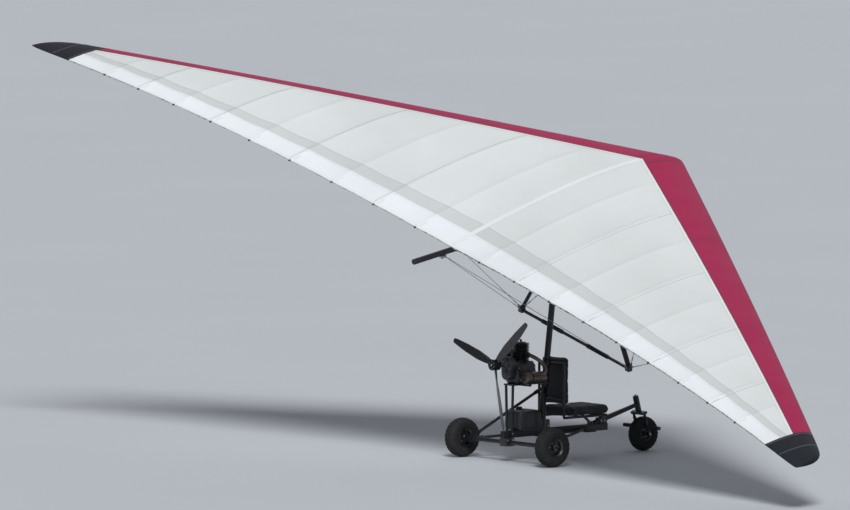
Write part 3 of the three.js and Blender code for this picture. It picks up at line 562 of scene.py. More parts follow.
def strip(shape, pairs, surface, top, lift, thick):
    """Thin tape between pairs of (y, t) places on a surface, one pair for each of its sections."""
    rows = []
    for low, high in pairs:
        rows.append([surface(*low, top, lift), surface(*high, top, lift),
                     surface(*high, top, lift + thick), surface(*low, top, lift + thick)])
    shape.skin(rows)


def cloth_strip(shape, ys, t_of, width, top, lift=ON_CLOTH):
    """Seam or tape along the span; t_of gives its middle at each y."""
    halves = [width / 2 / chord_at(y) for y in ys]
    pairs = [((y, t_of(y) - h), (y, min(t_of(y) + h, 1.0))) for y, h in zip(ys, halves)]
    strip(shape, pairs, cloth_point, top, lift, TAPE)


def chord_strip(shape, y, ends, width, top, lift=ON_CLOTH, thick=TAPE, surface=cloth_point):
    """Tape from front to rear at y."""
    pairs = [((y - width / 2, t), (y + width / 2, t)) for t in steps(*ends, 26)]
    strip(shape, pairs, surface, top, lift, thick)


# Materials

SOCKETS = {"specular": "Specular IOR Level", "sheen": "Sheen Weight", "sheen_roughness": "Sheen Roughness",
           "coat": "Coat Weight", "coat_roughness": "Coat Roughness"}


def shade(rgb, factor):
    return tuple(clamp01(c * factor) for c in rgb)


class Finish:
    """Node tree of one material, round a Principled shader."""

    def __init__(self, name, roughness=0.5, metallic=0.0, **sockets):
        self.material = bpy.data.materials.new(name)
        self.material.use_nodes = True
        self.tree = self.material.node_tree
        self.tree.nodes.clear()
        out = self.tree.nodes.new("ShaderNodeOutputMaterial")
        self.shader = self.tree.nodes.new("ShaderNodeBsdfPrincipled")
        self.tree.links.new(self.shader.outputs[0], out.inputs["Surface"])
        self.shader.inputs["Roughness"].default_value = roughness
        self.shader.inputs["Metallic"].default_value = metallic
        for socket, value in sockets.items():
            self.shader.inputs[SOCKETS[socket]].default_value = value
        self.place = self.node("ShaderNodeTexCoord", {}).outputs["Object"]

    def node(self, kind, inputs, **settings):
        """New node; each input, by name or number, is a plain value or another node's output."""
        made = self.tree.nodes.new(kind)
        for key, value in settings.items():
            setattr(made, key, value)
        for key, value in inputs.items():
            if isinstance(value, bpy.types.NodeSocket):
                self.tree.links.new(value, made.inputs[key])
            else:
                made.inputs[key].default_value = value
        return made

    def feed(self, output, socket):
        self.tree.links.new(output, self.shader.inputs[socket])
        return self

    def stretched(self, scale, turn=0):
        """The pattern's place, scaled along each axis and turned about z by some degrees."""
        inputs = {"Vector": self.place, "Scale": scale, "Rotation": (0, 0, math.radians(turn))}
        return self.node("ShaderNodeMapping", inputs).outputs["Vector"]

    def along(self, axes):
        """Measures the pattern in the given axes instead of the frame's."""
        back = axes.inverted()
        inputs = {"Vector": self.place, "Location": back.to_translation(), "Rotation": back.to_euler()}
        self.place = self.node("ShaderNodeMapping", inputs).outputs["Vector"]
        return self

    def noise(self, scale, detail=3.0, vector=None):
        inputs = {"Vector": vector or self.place, "Scale": scale, "Detail": detail}
        return self.node("ShaderNodeTexNoise", inputs).outputs["Fac"]

    def wave(self, scale, direction):
        inputs = {"Vector": self.place, "Scale": scale}
        return self.node("ShaderNodeTexWave", inputs, bands_direction=direction).outputs["Fac"]

    def maths(self, operation, a, b):
        return self.node("ShaderNodeMath", {0: a, 1: b}, operation=operation).outputs[0]

    def blended(self, a, share_a, b, share_b):
        """Two patterns added up, each with its share."""
        return self.maths("ADD", self.maths("MULTIPLY", a, share_a), self.maths("MULTIPLY", b, share_b))

    def colour(self, pattern, stops):
        """Colour ramp between (place, colour) stops, into the base colour."""
        ramp = self.node("ShaderNodeValToRGB", {"Fac": pattern})
        elements = ramp.color_ramp.elements
        while len(elements) < len(stops):
            elements.new(0.5)
        for element, (spot, rgb) in zip(elements, stops):
            element.position, element.color = spot, (*rgb, 1)
        return self.feed(ramp.outputs["Color"], "Base Color")

    def tones(self, pattern, rgb, *stops):
        """Darker and lighter shades of one colour, as (place, factor) stops."""
        return self.colour(pattern, [(spot, shade(rgb, factor)) for spot, factor in stops])

    def rough(self, pattern, low, high):
        made = self.node("ShaderNodeMapRange", {"Value": pattern, "To Min": low, "To Max": high})
        return self.feed(made.outputs["Result"], "Roughness")

    def bumps(self, height, distance, strength=0.6):
        made = self.node("ShaderNodeBump", {"Height": height, "Distance": distance, "Strength": strength})
        return self.feed(made.outputs["Normal"], "Normal")


def sailcloth(name, rgb, gloss=0.25):
    """Sailcloth: a fine square grid of thicker threads, soft creases, slight mottling."""
    made = Finish(name, 0.6, specular=gloss).along(WING)
    grid = made.maths("POWER", made.maths("MAXIMUM", made.wave(60, "X"), made.wave(60, "Y")), 6)
    creases = made.noise(3.0, 5.0, made.stretched((0.6, 1.6, 1)))
    mottle = made.blended(made.noise(1.1, 4), 0.85, grid, 0.15)
    made.tones(mottle, rgb, (0.25, 0.92), (0.55, 1.0), (0.85, 1.05)).rough(creases, 0.42, 0.6)
    height = made.maths("ADD", made.maths("MULTIPLY", grid, 0.02), creases)
    return made.bumps(height, 0.006, 0.5).material


def woven(name, rgb, scale=260, contrast=1.0):
    """Tight woven cloth or webbing."""
    made = Finish(name, 0.85, sheen=0.2, sheen_roughness=0.5)
    weave = made.maths("MULTIPLY", made.wave(scale, "DIAGONAL"), made.wave(scale, "Y"))
    worn = made.blended(weave, 0.25, made.noise(9, 4), 0.85)
    made.tones(worn, rgb, (0.25, 1 - 0.3 * contrast), (0.55, 1.0), (0.9, 1 + 0.5 * contrast))
    return made.rough(worn, 0.78, 0.92).bumps(weave, 0.0004, 0.5).material


def coated(name, rgb, roughness=0.38):
    """Powder coat: a fine orange peel, rubbed here and there."""
    made = Finish(name, roughness, coat=0.15, coat_roughness=0.3)
    rubbed = made.noise(5, 6, made.stretched((1, 1, 0.6)))
    made.tones(rubbed, rgb, (0.35, 0.8), (0.6, 1.0), (0.85, 2.2))
    made.rough(rubbed, roughness - 0.08, roughness + 0.14)
    return made.bumps(made.noise(900, 2), 0.0004, 0.35).material


def cast(name, rgb, roughness=0.5):
    """Cast or bead-blasted alloy."""
    made = Finish(name, roughness, 0.9)
    stain = made.noise(14, 6)
    made.tones(stain, rgb, (0.3, 0.55), (0.55, 1.0), (0.85, 1.35))
    made.rough(stain, roughness - 0.1, roughness + 0.15)
    return made.bumps(made.noise(420, 3), 0.0006, 0.5).material


def brushed(name, rgb, roughness=0.3, stretch=(2, 60, 60)):
    """Drawn or brushed metal, with its lines along x."""
    made = Finish(name, roughness, 1.0)
    lines = made.noise(12, 5, made.stretched(stretch))
    made.tones(lines, rgb, (0.3, 0.75), (0.5, 1.0), (0.8, 1.2))
    return made.rough(lines, roughness - 0.1, roughness + 0.15).bumps(lines, 0.0003, 0.4).material


def heated(name):
    """Exhaust steel, stained by heat."""
    made = Finish(name, 0.35, 1.0)
    stain = made.noise(9, 6)
    made.colour(stain, [(0.25, (0.06, 0.045, 0.04)), (0.5, (0.15, 0.125, 0.11)), (0.8, (0.26, 0.235, 0.215))])
    return made.rough(stain, 0.25, 0.55).bumps(made.noise(260, 3), 0.0004, 0.4).material


def moulded(name, rgb, roughness=0.45):
    """Moulded plastic with a fine grain."""
    made = Finish(name, roughness)
    tone = made.noise(6, 4)
    made.tones(tone, rgb, (0.3, 0.75), (0.55, 1.0), (0.85, 1.4))
    made.rough(tone, roughness - 0.06, roughness + 0.12)
    return made.bumps(made.noise(700, 2), 0.0004, 0.4).material


def rubber(name, rgb=(0.012, 0.012, 0.013)):
    """Tyre rubber with dust here and there."""
    made = Finish(name, 0.85)
    dust = made.noise(16, 7)
    made.tones(dust, rgb, (0.3, 0.8), (0.58, 1.2), (0.9, 4.0))
    return made.rough(dust, 0.75, 0.95).bumps(made.noise(500, 3), 0.0006, 0.5).material


def twill(name):
    """Carbon cloth in clear resin."""
    made = Finish(name, 0.25, coat=0.8, coat_roughness=0.06)
    check = made.node("ShaderNodeTexChecker", {"Vector": made.stretched((1, 1, 1), 45), "Scale": 330})
    tone = made.blended(check.outputs["Fac"], 0.3, made.noise(40, 3), 0.7)
    made.colour(tone, [(0.2, (0.006, 0.006, 0.007)), (0.9, (0.022, 0.023, 0.026))])
    return made.rough(tone, 0.22, 0.36).material


def floor_finish(name, rgb):
    """Smooth painted floor."""
    made = Finish(name, 0.8)
    tone = made.noise(0.4, 4)
    return made.tones(tone, rgb, (0.3, 0.988), (0.7, 1.012)).rough(tone, 0.75, 0.85).material


# Finishes of the tapes and threads that lie on the cloth
TAPES = ("white_tape", "seam_thread", "red_seam", "tip_tape")


def finish_table():
    """Each finish with the record's material slot that it belongs to, the function that makes it
    and what that function is given. The first finish of a slot is that of the frame's own parts."""
    scene = bpy.context.scene
    sail, chassis, seat = scene.glider_sail, scene.glider_chassis, scene.glider_seat
    return {
        "white_cloth": ("white_sailcloth", sailcloth, sail.cloth_color),
        # Brighter cloth of the rear panel on top: a painted highlight along the trailing edge
        "rear_cloth": ("white_sailcloth", sailcloth, sail.painted_highlight_color),
        # Greyer cloth of the band ahead of the rear panel on top: painted shade
        "grey_cloth": ("white_sailcloth", sailcloth, shade(sail.cloth_color, 0.86)),
        "white_tape": ("white_sailcloth", sailcloth, shade(sail.cloth_color, 1.12)),
        "seam_thread": ("white_sailcloth", woven, shade(sail.cloth_color, 0.72), 500, 0.4),
        "red_cloth": ("red_sailcloth", sailcloth, sail.band_color, 0.12),
        "red_seam": ("red_sailcloth", woven, shade(sail.band_color, 0.6), 500, 0.4),
        "dark_cloth": ("dark_sailcloth", sailcloth, sail.tip_color, 0.12),
        "tip_tape": ("dark_sailcloth", woven, shade(sail.tip_color, 2.4), 500, 0.4),
        "tube_coat": ("powder_coat", coated, chassis.tube_color),
        "cast_alloy": ("cast_alloy", cast, (0.11, 0.113, 0.12)),
        "dark_alloy": ("cast_alloy", cast, (0.035, 0.036, 0.04), 0.45),
        "wheel_alloy": ("wheel_alloy", brushed, (0.1, 0.1, 0.105), 0.38),
        "bare_alloy": ("bare_aluminium", brushed, (0.52, 0.53, 0.55), 0.32),
        "exhaust_steel": ("bare_aluminium", heated),
        "wire_steel": ("steel_wire", brushed, (0.36, 0.36, 0.37), 0.35, (300, 300, 300)),
        "bolt_steel": ("steel_wire", brushed, (0.42, 0.42, 0.43), 0.28, (60, 60, 60)),
        "tyre_rubber": ("tyre_rubber", rubber),
        "grip_rubber": ("tyre_rubber", rubber, (0.018, 0.018, 0.02)),
        "black_plastic": ("black_plastic", moulded, (0.014, 0.014, 0.016)),
        "tank_plastic": ("tank_plastic", moulded, (0.03, 0.032, 0.036), 0.4),
        "carbon": ("carbon", twill),
        "seat_cloth": ("seat_cloth", woven, seat.cloth_color),
        "seat_piping": ("seat_cloth", woven, shade(seat.cloth_color, 2.2), 500, 0.6),
        "webbing": ("seat_cloth", woven, (0.025, 0.026, 0.03), 300, 0.8),
        "filter_felt": ("seat_cloth", woven, (0.12, 0.012, 0.01), 420),
        "floor": (None, floor_finish, scene.glider_stage.floor_color),
    }


MADE = {}


def material(name):
    """One material of the aircraft, made when it is first asked for."""
    if name not in MADE:
        slot, maker, *values = finish_table()[name]
        MADE[name] = maker(name, *values)
    return MADE[name]


# The wing

class GLIDER_OT_sail(bpy.types.Operator):
    """Build the upper and under cloth with battens, seams, tapes, patches and batten ends"""

    bl_idname = "glider.sail"
    bl_label = "Sail"

    def execute(self, context):
        top_ys = both_sides(span_stations(TOP_BATTENS))
        under = {*span_stations(TOP_BATTENS), *span_stations(UNDER_BATTENS), 0.5 * OPENING[1], OPENING[1]}
        under_ys = both_sides(sorted(under))
        on_top = [*self.seams("top", top_ys, True, BAND_TOP), self.edge_tape(under_ys), *self.battens()]
        on_under = [*self.seams("under", under_ys, False, BAND_UNDER), self.opening_hem(), self.patches()]
        self.top_cloth(top_ys, on_top)
        self.under_cloth(under_ys, on_under)
        return {"FINISHED"}

    def top_cloth(self, ys, sewn_on):
        # Steps along the chord over the white cloth, over the band of greyer cloth that is painted shade, and
        # over the rear panel
        white, painted_shade_steps, rear = 28, 6, 10
        rows = []
        for y in ys:
            marks = (band_end(y, BAND_TOP, GAP), rear_seam(y, True, PAINTED_SHADE_BAND), rear_seam(y, True), 1)
            rows.append([cloth_point(y, t, True) for t in runs(marks, (white, painted_shade_steps, rear))])
        # The zones give the band its greyer cloth, which is painted shade, and the rear panel its brighter
        # cloth, which is a painted highlight
        cloth_sheet("sail_top", rows, Vector((0, 0, -1)), "white_cloth", ("sail_left", "sail_right"),
                    zones=((white, "grey_cloth"), (white + painted_shade_steps, "rear_cloth")))

    def under_cloth(self, ys, sewn_on):
        length, width = OPENING
        rows = []
        for y in ys:
            start = band_end(y, BAND_UNDER, GAP)
            middle = [along_chord(x, y) for x in (length, -length)]
            if abs(y) > 1:
                middle = [mix(start, 1, f) for f in (0.4, 0.5)]
            rows.append([cloth_point(y, t, False) for t in runs((start, *middle, 1), (14, 6, 20))])
        cloth_sheet("sail_under", rows, Vector((0, 0, 1)), "white_cloth",
                    hole=lambda point: abs(point.x) < length and abs(point.y) < width)

    def opening_hem(self):
        """Tape round the opening that the hang block turns in."""
        length, width = OPENING
        corners = [(length, -width), (length, width), (-length, width), (-length, -width), (length, -width)]
        inner, outer = -0.005, 0.02
        shape = Shape()
        for (x0, y0), (x1, y1) in zip(corners, corners[1:]):
            out = 1 if x0 + x1 + y0 + y1 > 0 else -1
            pairs = []
            for f, reach in itertools.product(steps(0, 1, 8), (inner, outer)):
                x = mix(x0, x1, f) + out * reach * (x0 == x1)
                y = mix(y0, y1, f) + out * reach * (y0 == y1)
                pairs.append((y, along_chord(x, y)))
            strip(shape, zip(pairs[::2], pairs[1::2]), cloth_point, False, 0.0003, 0.0013)
        return shape.build("opening_hem", "white_tape", "wing")

    def patches(self):
        """Two layers of cloth where each side wire passes through the under cloth."""
        shape = Shape()
        for s, (width, lift) in itertools.product((1, -1), ((0.16, 0.0004), (0.1, 0.0013))):
            half = width / 2
            reach = half / chord_at(SIDE_WIRE_Y)
            ts = steps(SIDE_WIRE_T - reach, SIDE_WIRE_T + reach, 6)
            rows = []
            for y in steps(SIDE_WIRE_Y - half, SIDE_WIRE_Y + half, 6):
                rows.append([cloth_point(s * y, t, False, lift + ON_CLOTH + TAPE) for t in ts]
                            + [cloth_point(s * y, t, False, lift) for t in reversed(ts)])
            shape.skin(rows)
        return shape.build("wire_patches", "white_tape", "wing")

    def edge_tape(self, ys):
        """Tape folded round the trailing edge."""
        rows = []
        for y in ys:
            t = 1 - 0.03 / chord_at(y)
            path = [(t, True), (1, True), (1, False), (t, False)]
            rows.append([cloth_point(y, a, side, 0.0012) for a, side in path]
                        + [cloth_point(y, a, side, 0.0001) for a, side in reversed(path)])
        shape = Shape()
        shape.skin(rows)
        return shape.build("sail_edge_tape", "white_tape", "wing")

    def seams(self, name, ys, top, table):
        """Taped seams along the span, and sewn seams between the panels."""
        tapes, threads = Shape(), Shape()
        cloth_strip(tapes, ys, lambda y: rear_seam(y, top), 0.022, top)
        cloth_strip(tapes, ys, lambda y: band_end(y, table, 0.018), 0.03, top)
        if top:
            chord_strip(tapes, 0, (band_end(0, table), 0.985), 0.05, top)
            # Stitching along the front edge of the band of painted shade
            cloth_strip(threads, ys, lambda y: rear_seam(y, top, PAINTED_SHADE_BAND), 0.003, top, 0.0005)
            for behind in (0.006, 0.03):
                cloth_strip(threads, ys, lambda y, d=behind: band_end(y, table, d), 0.003, top, 0.0016)
        for y, s in itertools.product(UNDER_BATTENS, (1, -1)):
            chord_strip(threads, s * (y + 0.027), (band_end(y, table) + 0.01, 0.985), 0.004, top)
        return [tapes.build(f"sail_{name}_seams", "white_tape", "wing"),
                threads.build(f"sail_{name}_stitching", "seam_thread", "wing")]

    def battens(self):
        """Pockets at the rear of the battens, and the battens' ends with their cord loops."""
        ends, pockets = Shape(), Shape()
        for y, s in itertools.product(TOP_BATTENS, (1, -1)):
            root = cloth_point(s * y, 1, True, -0.004)
            ahead = (root - cloth_point(s * y, 0.97, True, -0.004)).normalized()
            ends.tube([root - ahead * 0.01, root + ahead * 0.018], 0.0055, 12, round_end=0.002)
            ends.hoop(root + ahead * 0.012, ahead, 0.007, 0.0014, segments=16, sides=6)
            chord_strip(pockets, s * y, (1 - 0.11 / chord_at(y), 0.99), 0.044, True, 0.0018)
        return [ends.build("batten_ends", "black_plastic", "wing", slot="dark_sailcloth"),
                pockets.build("batten_pockets", "white_tape", "wing")]


class GLIDER_OT_leading_edge(bpy.types.Operator):
    """Build the red leading edge sleeves, their seams and the nose cone"""

    bl_idname = "glider.leading_edge"
    bl_label = "Leading edge"

    def execute(self, context):
        ys = [NOSE_CONE_HALF + 0.0003]
        ys += [y for y in span_stations(TOP_BATTENS) if y > NOSE_CONE_HALF + 0.02]
        for side, s in SIDES:
            seams = Shape()
            for top, table in ((True, BAND_TOP), (False, BAND_UNDER)):
                cloth_strip(seams, [s * y for y in ys], lambda y, b=table: band_end(y, b, -0.012), 0.012,
                            top, 0.0001)
                for y in (1.42, 2.86):
                    chord_strip(seams, s * y, (0.02, band_end(y, table)), 0.014, top, 0.0001)
            sewn_on = seams.build(f"leading_edge_seams_{side}", "red_seam", "wing")
            cloth_sheet(f"leading_edge_sleeve_{side}", [self.section(s * y) for y in ys], Vector(),
                        "red_cloth", (f"leading_edge_{side}",))
        self.nose()
        return {"FINISHED"}

    def section(self, y, lift=0.0):
        top_end, under_end = band_end(y, BAND_TOP), band_end(y, BAND_UNDER)
        over = [cloth_point(y, t, True, lift) for t in steps(0, top_end, 18, 1.9)]
        below = [cloth_point(y, t, False, lift) for t in steps(0, under_end, 10, 1.7)[1:]]
        return over[::-1] + below

    def nose(self):
        hem = Shape()
        for s in (1, -1):
            y = s * (NOSE_CONE_HALF + 0.001)
            places = ((-0.012, 0.0002), (0.012, 0.0002), (0.012, 0.0016), (-0.012, 0.0016))
            hem.skin(list(zip(*(self.section(y + s * d, lift) for d, lift in places))))
        sewn_on = hem.build("nose_hem", "red_seam", "wing")
        ys = both_sides([0.01, 0.025, 0.04, 0.055, NOSE_CONE_HALF])
        cloth_sheet("nose_fairing", [self.section(y) for y in ys], Vector(), "red_cloth", ("nose_cone",))


class GLIDER_OT_tips(bpy.types.Operator):
    """Build the dark tips with their end seams"""

    bl_idname = "glider.tips"
    bl_label = "Tips"

    def execute(self, context):
        for side, s in SIDES:
            seams = Shape()
            for y, top in itertools.product((TIP_START + 0.02, TIP_START + 0.2), (True, False)):
                chord_strip(seams, s * y, (0.02, 0.985), 0.016, top, 0.0002, 0.001, sail_point)
            sewn_on = seams.build(f"tip_seams_{side}", "tip_tape", "wing")
            rows = []
            for f in (0.0007, 0.15, 0.3, 0.45, 0.6, 0.7, 0.8, 0.86, 0.91, 0.95, 0.98, 0.995, 1.0):
                y = s * mix(TIP_START, HALF_SPAN, f)
                over = [sail_point(y, t, True) for t in steps(0, 1, 22, 1.7)]
                below = [sail_point(y, t, False) for t in steps(0, 1, 16, 1.5)[1:]]
                rear = sail_point(y, 0.97, True)
                shrink = 0.6 * f ** 7 + 0.38 * f ** 60
                rows.append([p.lerp(rear, shrink) for p in over[::-1] + below])
            cloth_sheet(f"tip_cloth_{side}", rows, Vector(), "dark_cloth", (f"tip_{side}",), ring=True)
        return {"FINISHED"}


class GLIDER_OT_keel_pocket(bpy.types.Operator):
    """Build the cloth pocket that ties the sail down to the keel, with its hems and lacing eyes"""

    bl_idname = "glider.keel_pocket"
    bl_label = "Keel pocket"

    def execute(self, context):
        front, rear, radius = -0.1205, -1.1795, 0.0292
        eyes, hems = Shape(), Shape()
        for x, s in itertools.product(steps(front - 0.03, rear + 0.03, 12), (1, -1)):
            eyes.hoop((x, s * 0.0048, radius + 0.004), (0, 1, 0), 0.0042, 0.0012, segments=16, sides=6)
        inner, outer, width = radius + 0.001, radius + 0.002, 0.02
        for end, way in ((front, -width), (rear, width)):
            corners = ((end, inner), (end + way, inner), (end + way, outer), (end, outer))
            turns = steps(math.radians(90), math.radians(-270), 48)
            hems.skin([[(x, *polar(r, a)) for x, r in corners] for a in turns], caps=False)
        sewn_on = [eyes.build("pocket_eyes", "bolt_steel", "wing"),
                   hems.build("pocket_hems", "white_tape", "wing")]
        cloth_sheet("keel_pocket_cloth", [self.section(x, radius) for x in steps(front, rear, 46)],
                    Vector((0, 0, -0.02)), "white_cloth", ("keel_pocket",))
        return {"FINISHED"}

    def section(self, x, radius):
        """One section of the loose cloth: down from the sail, round the keel and up again."""
        roof = cloth_point(0, (NOSE_X - x) / ROOT_CHORD, False, 0.0002).z
        r = radius * (1 + 0.02 * math.sin(x * 61) + 0.012 * math.sin(x * 143 + 1))
        round_keel = [Vector((x, *polar(r, math.radians(90 - 15 * k)))) for k in range(1, 24)]
        sides = []
        for s in (1, -1):
            sides.append([Vector((x, s * mix(0.0045, 0.003, f) + 0.0008 * math.sin(x * 47 + 5 * f),
                                  mix(r * 0.985, roof, f))) for f in (1, 0.8, 0.6, 0.4, 0.2)])
        return sides[0] + round_keel + sides[1][::-1]


class GLIDER_OT_control_frame(bpy.types.Operator):
    """Add the grips, bolts, tube ends and wire catches of keel and control frame"""

    bl_idname = "glider.control_frame"
    bl_label = "Control frame"

    def execute(self, context):
        grips = Shape()
        for s in (1, -1):
            grips.collar((BAR_X, s * 0.2975, BAR_Z), (0, s, 0), 0.0185, 0.1375, 28, 0.005, 0.003)
            for y in steps(0.185, 0.409, 8):
                grips.hoop((BAR_X, s * y, BAR_Z), (0, 1, 0), 0.0182, 0.0016)
        grips.build("bar_grips", "grip_rubber", "wing")

        bolts = Shape()
        for s, way in itertools.product((1, -1), (1, -1)):
            for z in (BAR_Z + 0.012, BAR_Z + 0.026):
                bolts.bolt((BAR_X + way * 0.022, s * BAR_HALF, z), (way, 0, 0), 0.005)
            bolts.bolt((APEX.x + way * 0.014, s * 0.05, -0.062), (way, 0, 0), 0.005)
        for s in (1, -1):
            bolts.bolt((APEX.x, s * 0.044, -0.02), (0, s, 0), 0.006)
            bolts.bolt((1.24, s * 0.026, 0.026), (0, 0, -1), 0.0035)
        bolts.build("wing_bolts", "bolt_steel", "wing")

        ends = Shape()
        profile = [(0, 0.0002), (KEEL_R, 0.0002), (KEEL_R, 0.004), (KEEL_R - 0.003, 0.008), (0, 0.009)]
        for x, way in ((1.4, 1), (-1.66, -1)):
            ends.turned(profile, 32, aim((x, 0, 0), (way, 0, 0)))
        ends.build("keel_plugs", "black_plastic", "wing")

        catch = Shape()
        for x in (CATCH_X, -CATCH_X):
            catch.box((x - 0.03, -0.018, -0.047), (x + 0.03, 0.018, -0.0255), 0.003)
            catch.hoop((x, 0, -0.052), (0, 1, 0), 0.009, 0.0022)
        catch.build("wire_catches", "bare_alloy", "wing")
        return {"FINISHED"}


class GLIDER_OT_rigging(bpy.types.Operator):
    """Add swaged sleeves, eyes and tangs to the ends of the lower wires"""

    bl_idname = "glider.rigging"
    bl_label = "Rigging"

    def execute(self, context):
        sleeves, tangs = Shape(), Shape()
        z = BAR_Z + 0.02
        for s in (1, -1):
            cloth = sail_point(s * SIDE_WIRE_Y, SIDE_WIRE_T, False)
            wires = [((BAR_X + 0.023, s * BAR_HALF, z), (CATCH_X, s * 0.014, -0.024)),
                     ((BAR_X - 0.023, s * BAR_HALF, z), (-CATCH_X, s * 0.014, -0.024)),
                     ((BAR_X, s * (BAR_HALF + 0.025), z), (cloth.x, cloth.y, cloth.z - 0.0025))]
            for low, high in wires:
                self.fittings(sleeves, tangs, Vector(low), Vector(high))
        sleeves.build("wire_sleeves", "bolt_steel", "wing")
        tangs.build("wire_tangs", "bare_alloy", "wing")
        return {"FINISHED"}

    def fittings(self, sleeves, tangs, low, high):
        """The fittings at both ends of one wire, and the two sleeves of its lower loop."""
        way = (high - low).normalized()
        for point, out in ((low, way), (high, -way)):
            sleeves.collar(point + out * 0.065, out, 0.0052, 0.02, 14)
            sleeves.hoop(point + out * 0.018, out.cross(Vector((1, 0, 0))), 0.009, 0.0024)
            tangs.box((-0.0015, -0.007, 0.0), (0.0015, 0.007, 0.032), 0.001, aim(point, out))
        for d in (0.14, 0.175):
            sleeves.tube([low + way * (d - 0.012), low + way * (d + 0.012)], 0.0042, 12, round_end=0.001)


class GLIDER_OT_hang_joint(bpy.types.Operator):
    """Add the hang block's bolts"""

    bl_idname = "glider.hang_joint"
    bl_label = "Hang joint"

    def execute(self, context):
        shape = Shape()
        shape.side_bolts([((-0.024, 0.024), 0.04, (0.062, 0.118), 0.005)])
        shape.build("hang_block_bolts", "bolt_steel", "hang_joint")
        return {"FINISHED"}


# The chassis

class GLIDER_OT_chassis(bpy.types.Operator):
    """Build the beam and add plugs, brackets, clamps and bolts to the chassis"""

    bl_idname = "glider.chassis"
    bl_label = "Chassis"

    def execute(self, context):
        beam = Shape()
        beam.box((-0.43, -0.025, 0.0083), (0.74, 0.025, 0.07), 0.005, rounds=3)
        beam.build("beam_tube", "tube_coat", "trike", replaces=("base_beam",))
        plugs = Shape()
        for low, high in ((-0.4345, -0.4302), (0.7402, 0.7445)):
            plugs.box((low, -0.024, 0.009), (high, 0.024, 0.069), 0.002)
        for s in (1, -1):
            plugs.disc(0.017, 0.003, 24, aim((0.14, s * 0.165, 0.6), (0, 0, 1)), 0.002)
        plugs.build("beam_plugs", "black_plastic", "trike")
        self.brackets()
        self.bolts()
        return {"FINISHED"}

    def brackets(self):
        """Clamps near the ends of the struts, and the mast's bands."""
        shape = Shape()
        for s in (1, -1):
            struts = (((-0.372, s * 0.483, -0.02), (mast_x(0.42) - 0.004, s * 0.012, 0.42), 0.07),
                      ((-0.37, s * 0.48, -0.03), (0.52, s * 0.01, 0.035), 0.08))
            for outer, inner, inset in struts:
                outer, inner = Vector(outer), Vector(inner)
                way = (inner - outer).normalized()
                for centre in (outer + way * inset, inner - way * inset):
                    shape.collar(centre, way, 0.0165, 0.02)
        for z in (0.21, 0.44, 0.52, 0.66, 1.2, 1.7):
            shape.collar((mast_x(z), 0, z), MAST_TOP - MAST_FOOT, MAST_R + 0.004, 0.012, 32)
        shape.build("tube_clamps", "dark_alloy", "trike")

    def bolts(self):
        shape = Shape()
        # Places along x, distance from the middle, heights, size of the head
        shape.side_bolts([
            ((-0.41, -0.35), 0.045, (-0.012,), 0.006),
            ((-0.045, 0.052), 0.042, (0.09,), 0.007),
            ((0.569, 0.589), 0.024, (0.0825,), 0.0045),
            ((0.665, 0.705), 0.03, (0.095,), 0.006),
            ((-0.395, -0.365), 0.518, (-0.045, -0.015), 0.004),
            ((-0.352,), 0.043, (0.045,), 0.005),
            ((0.212,), 0.031, (1.75, 1.73), 0.005),
        ])
        shape.build("chassis_bolts", "bolt_steel", "trike")


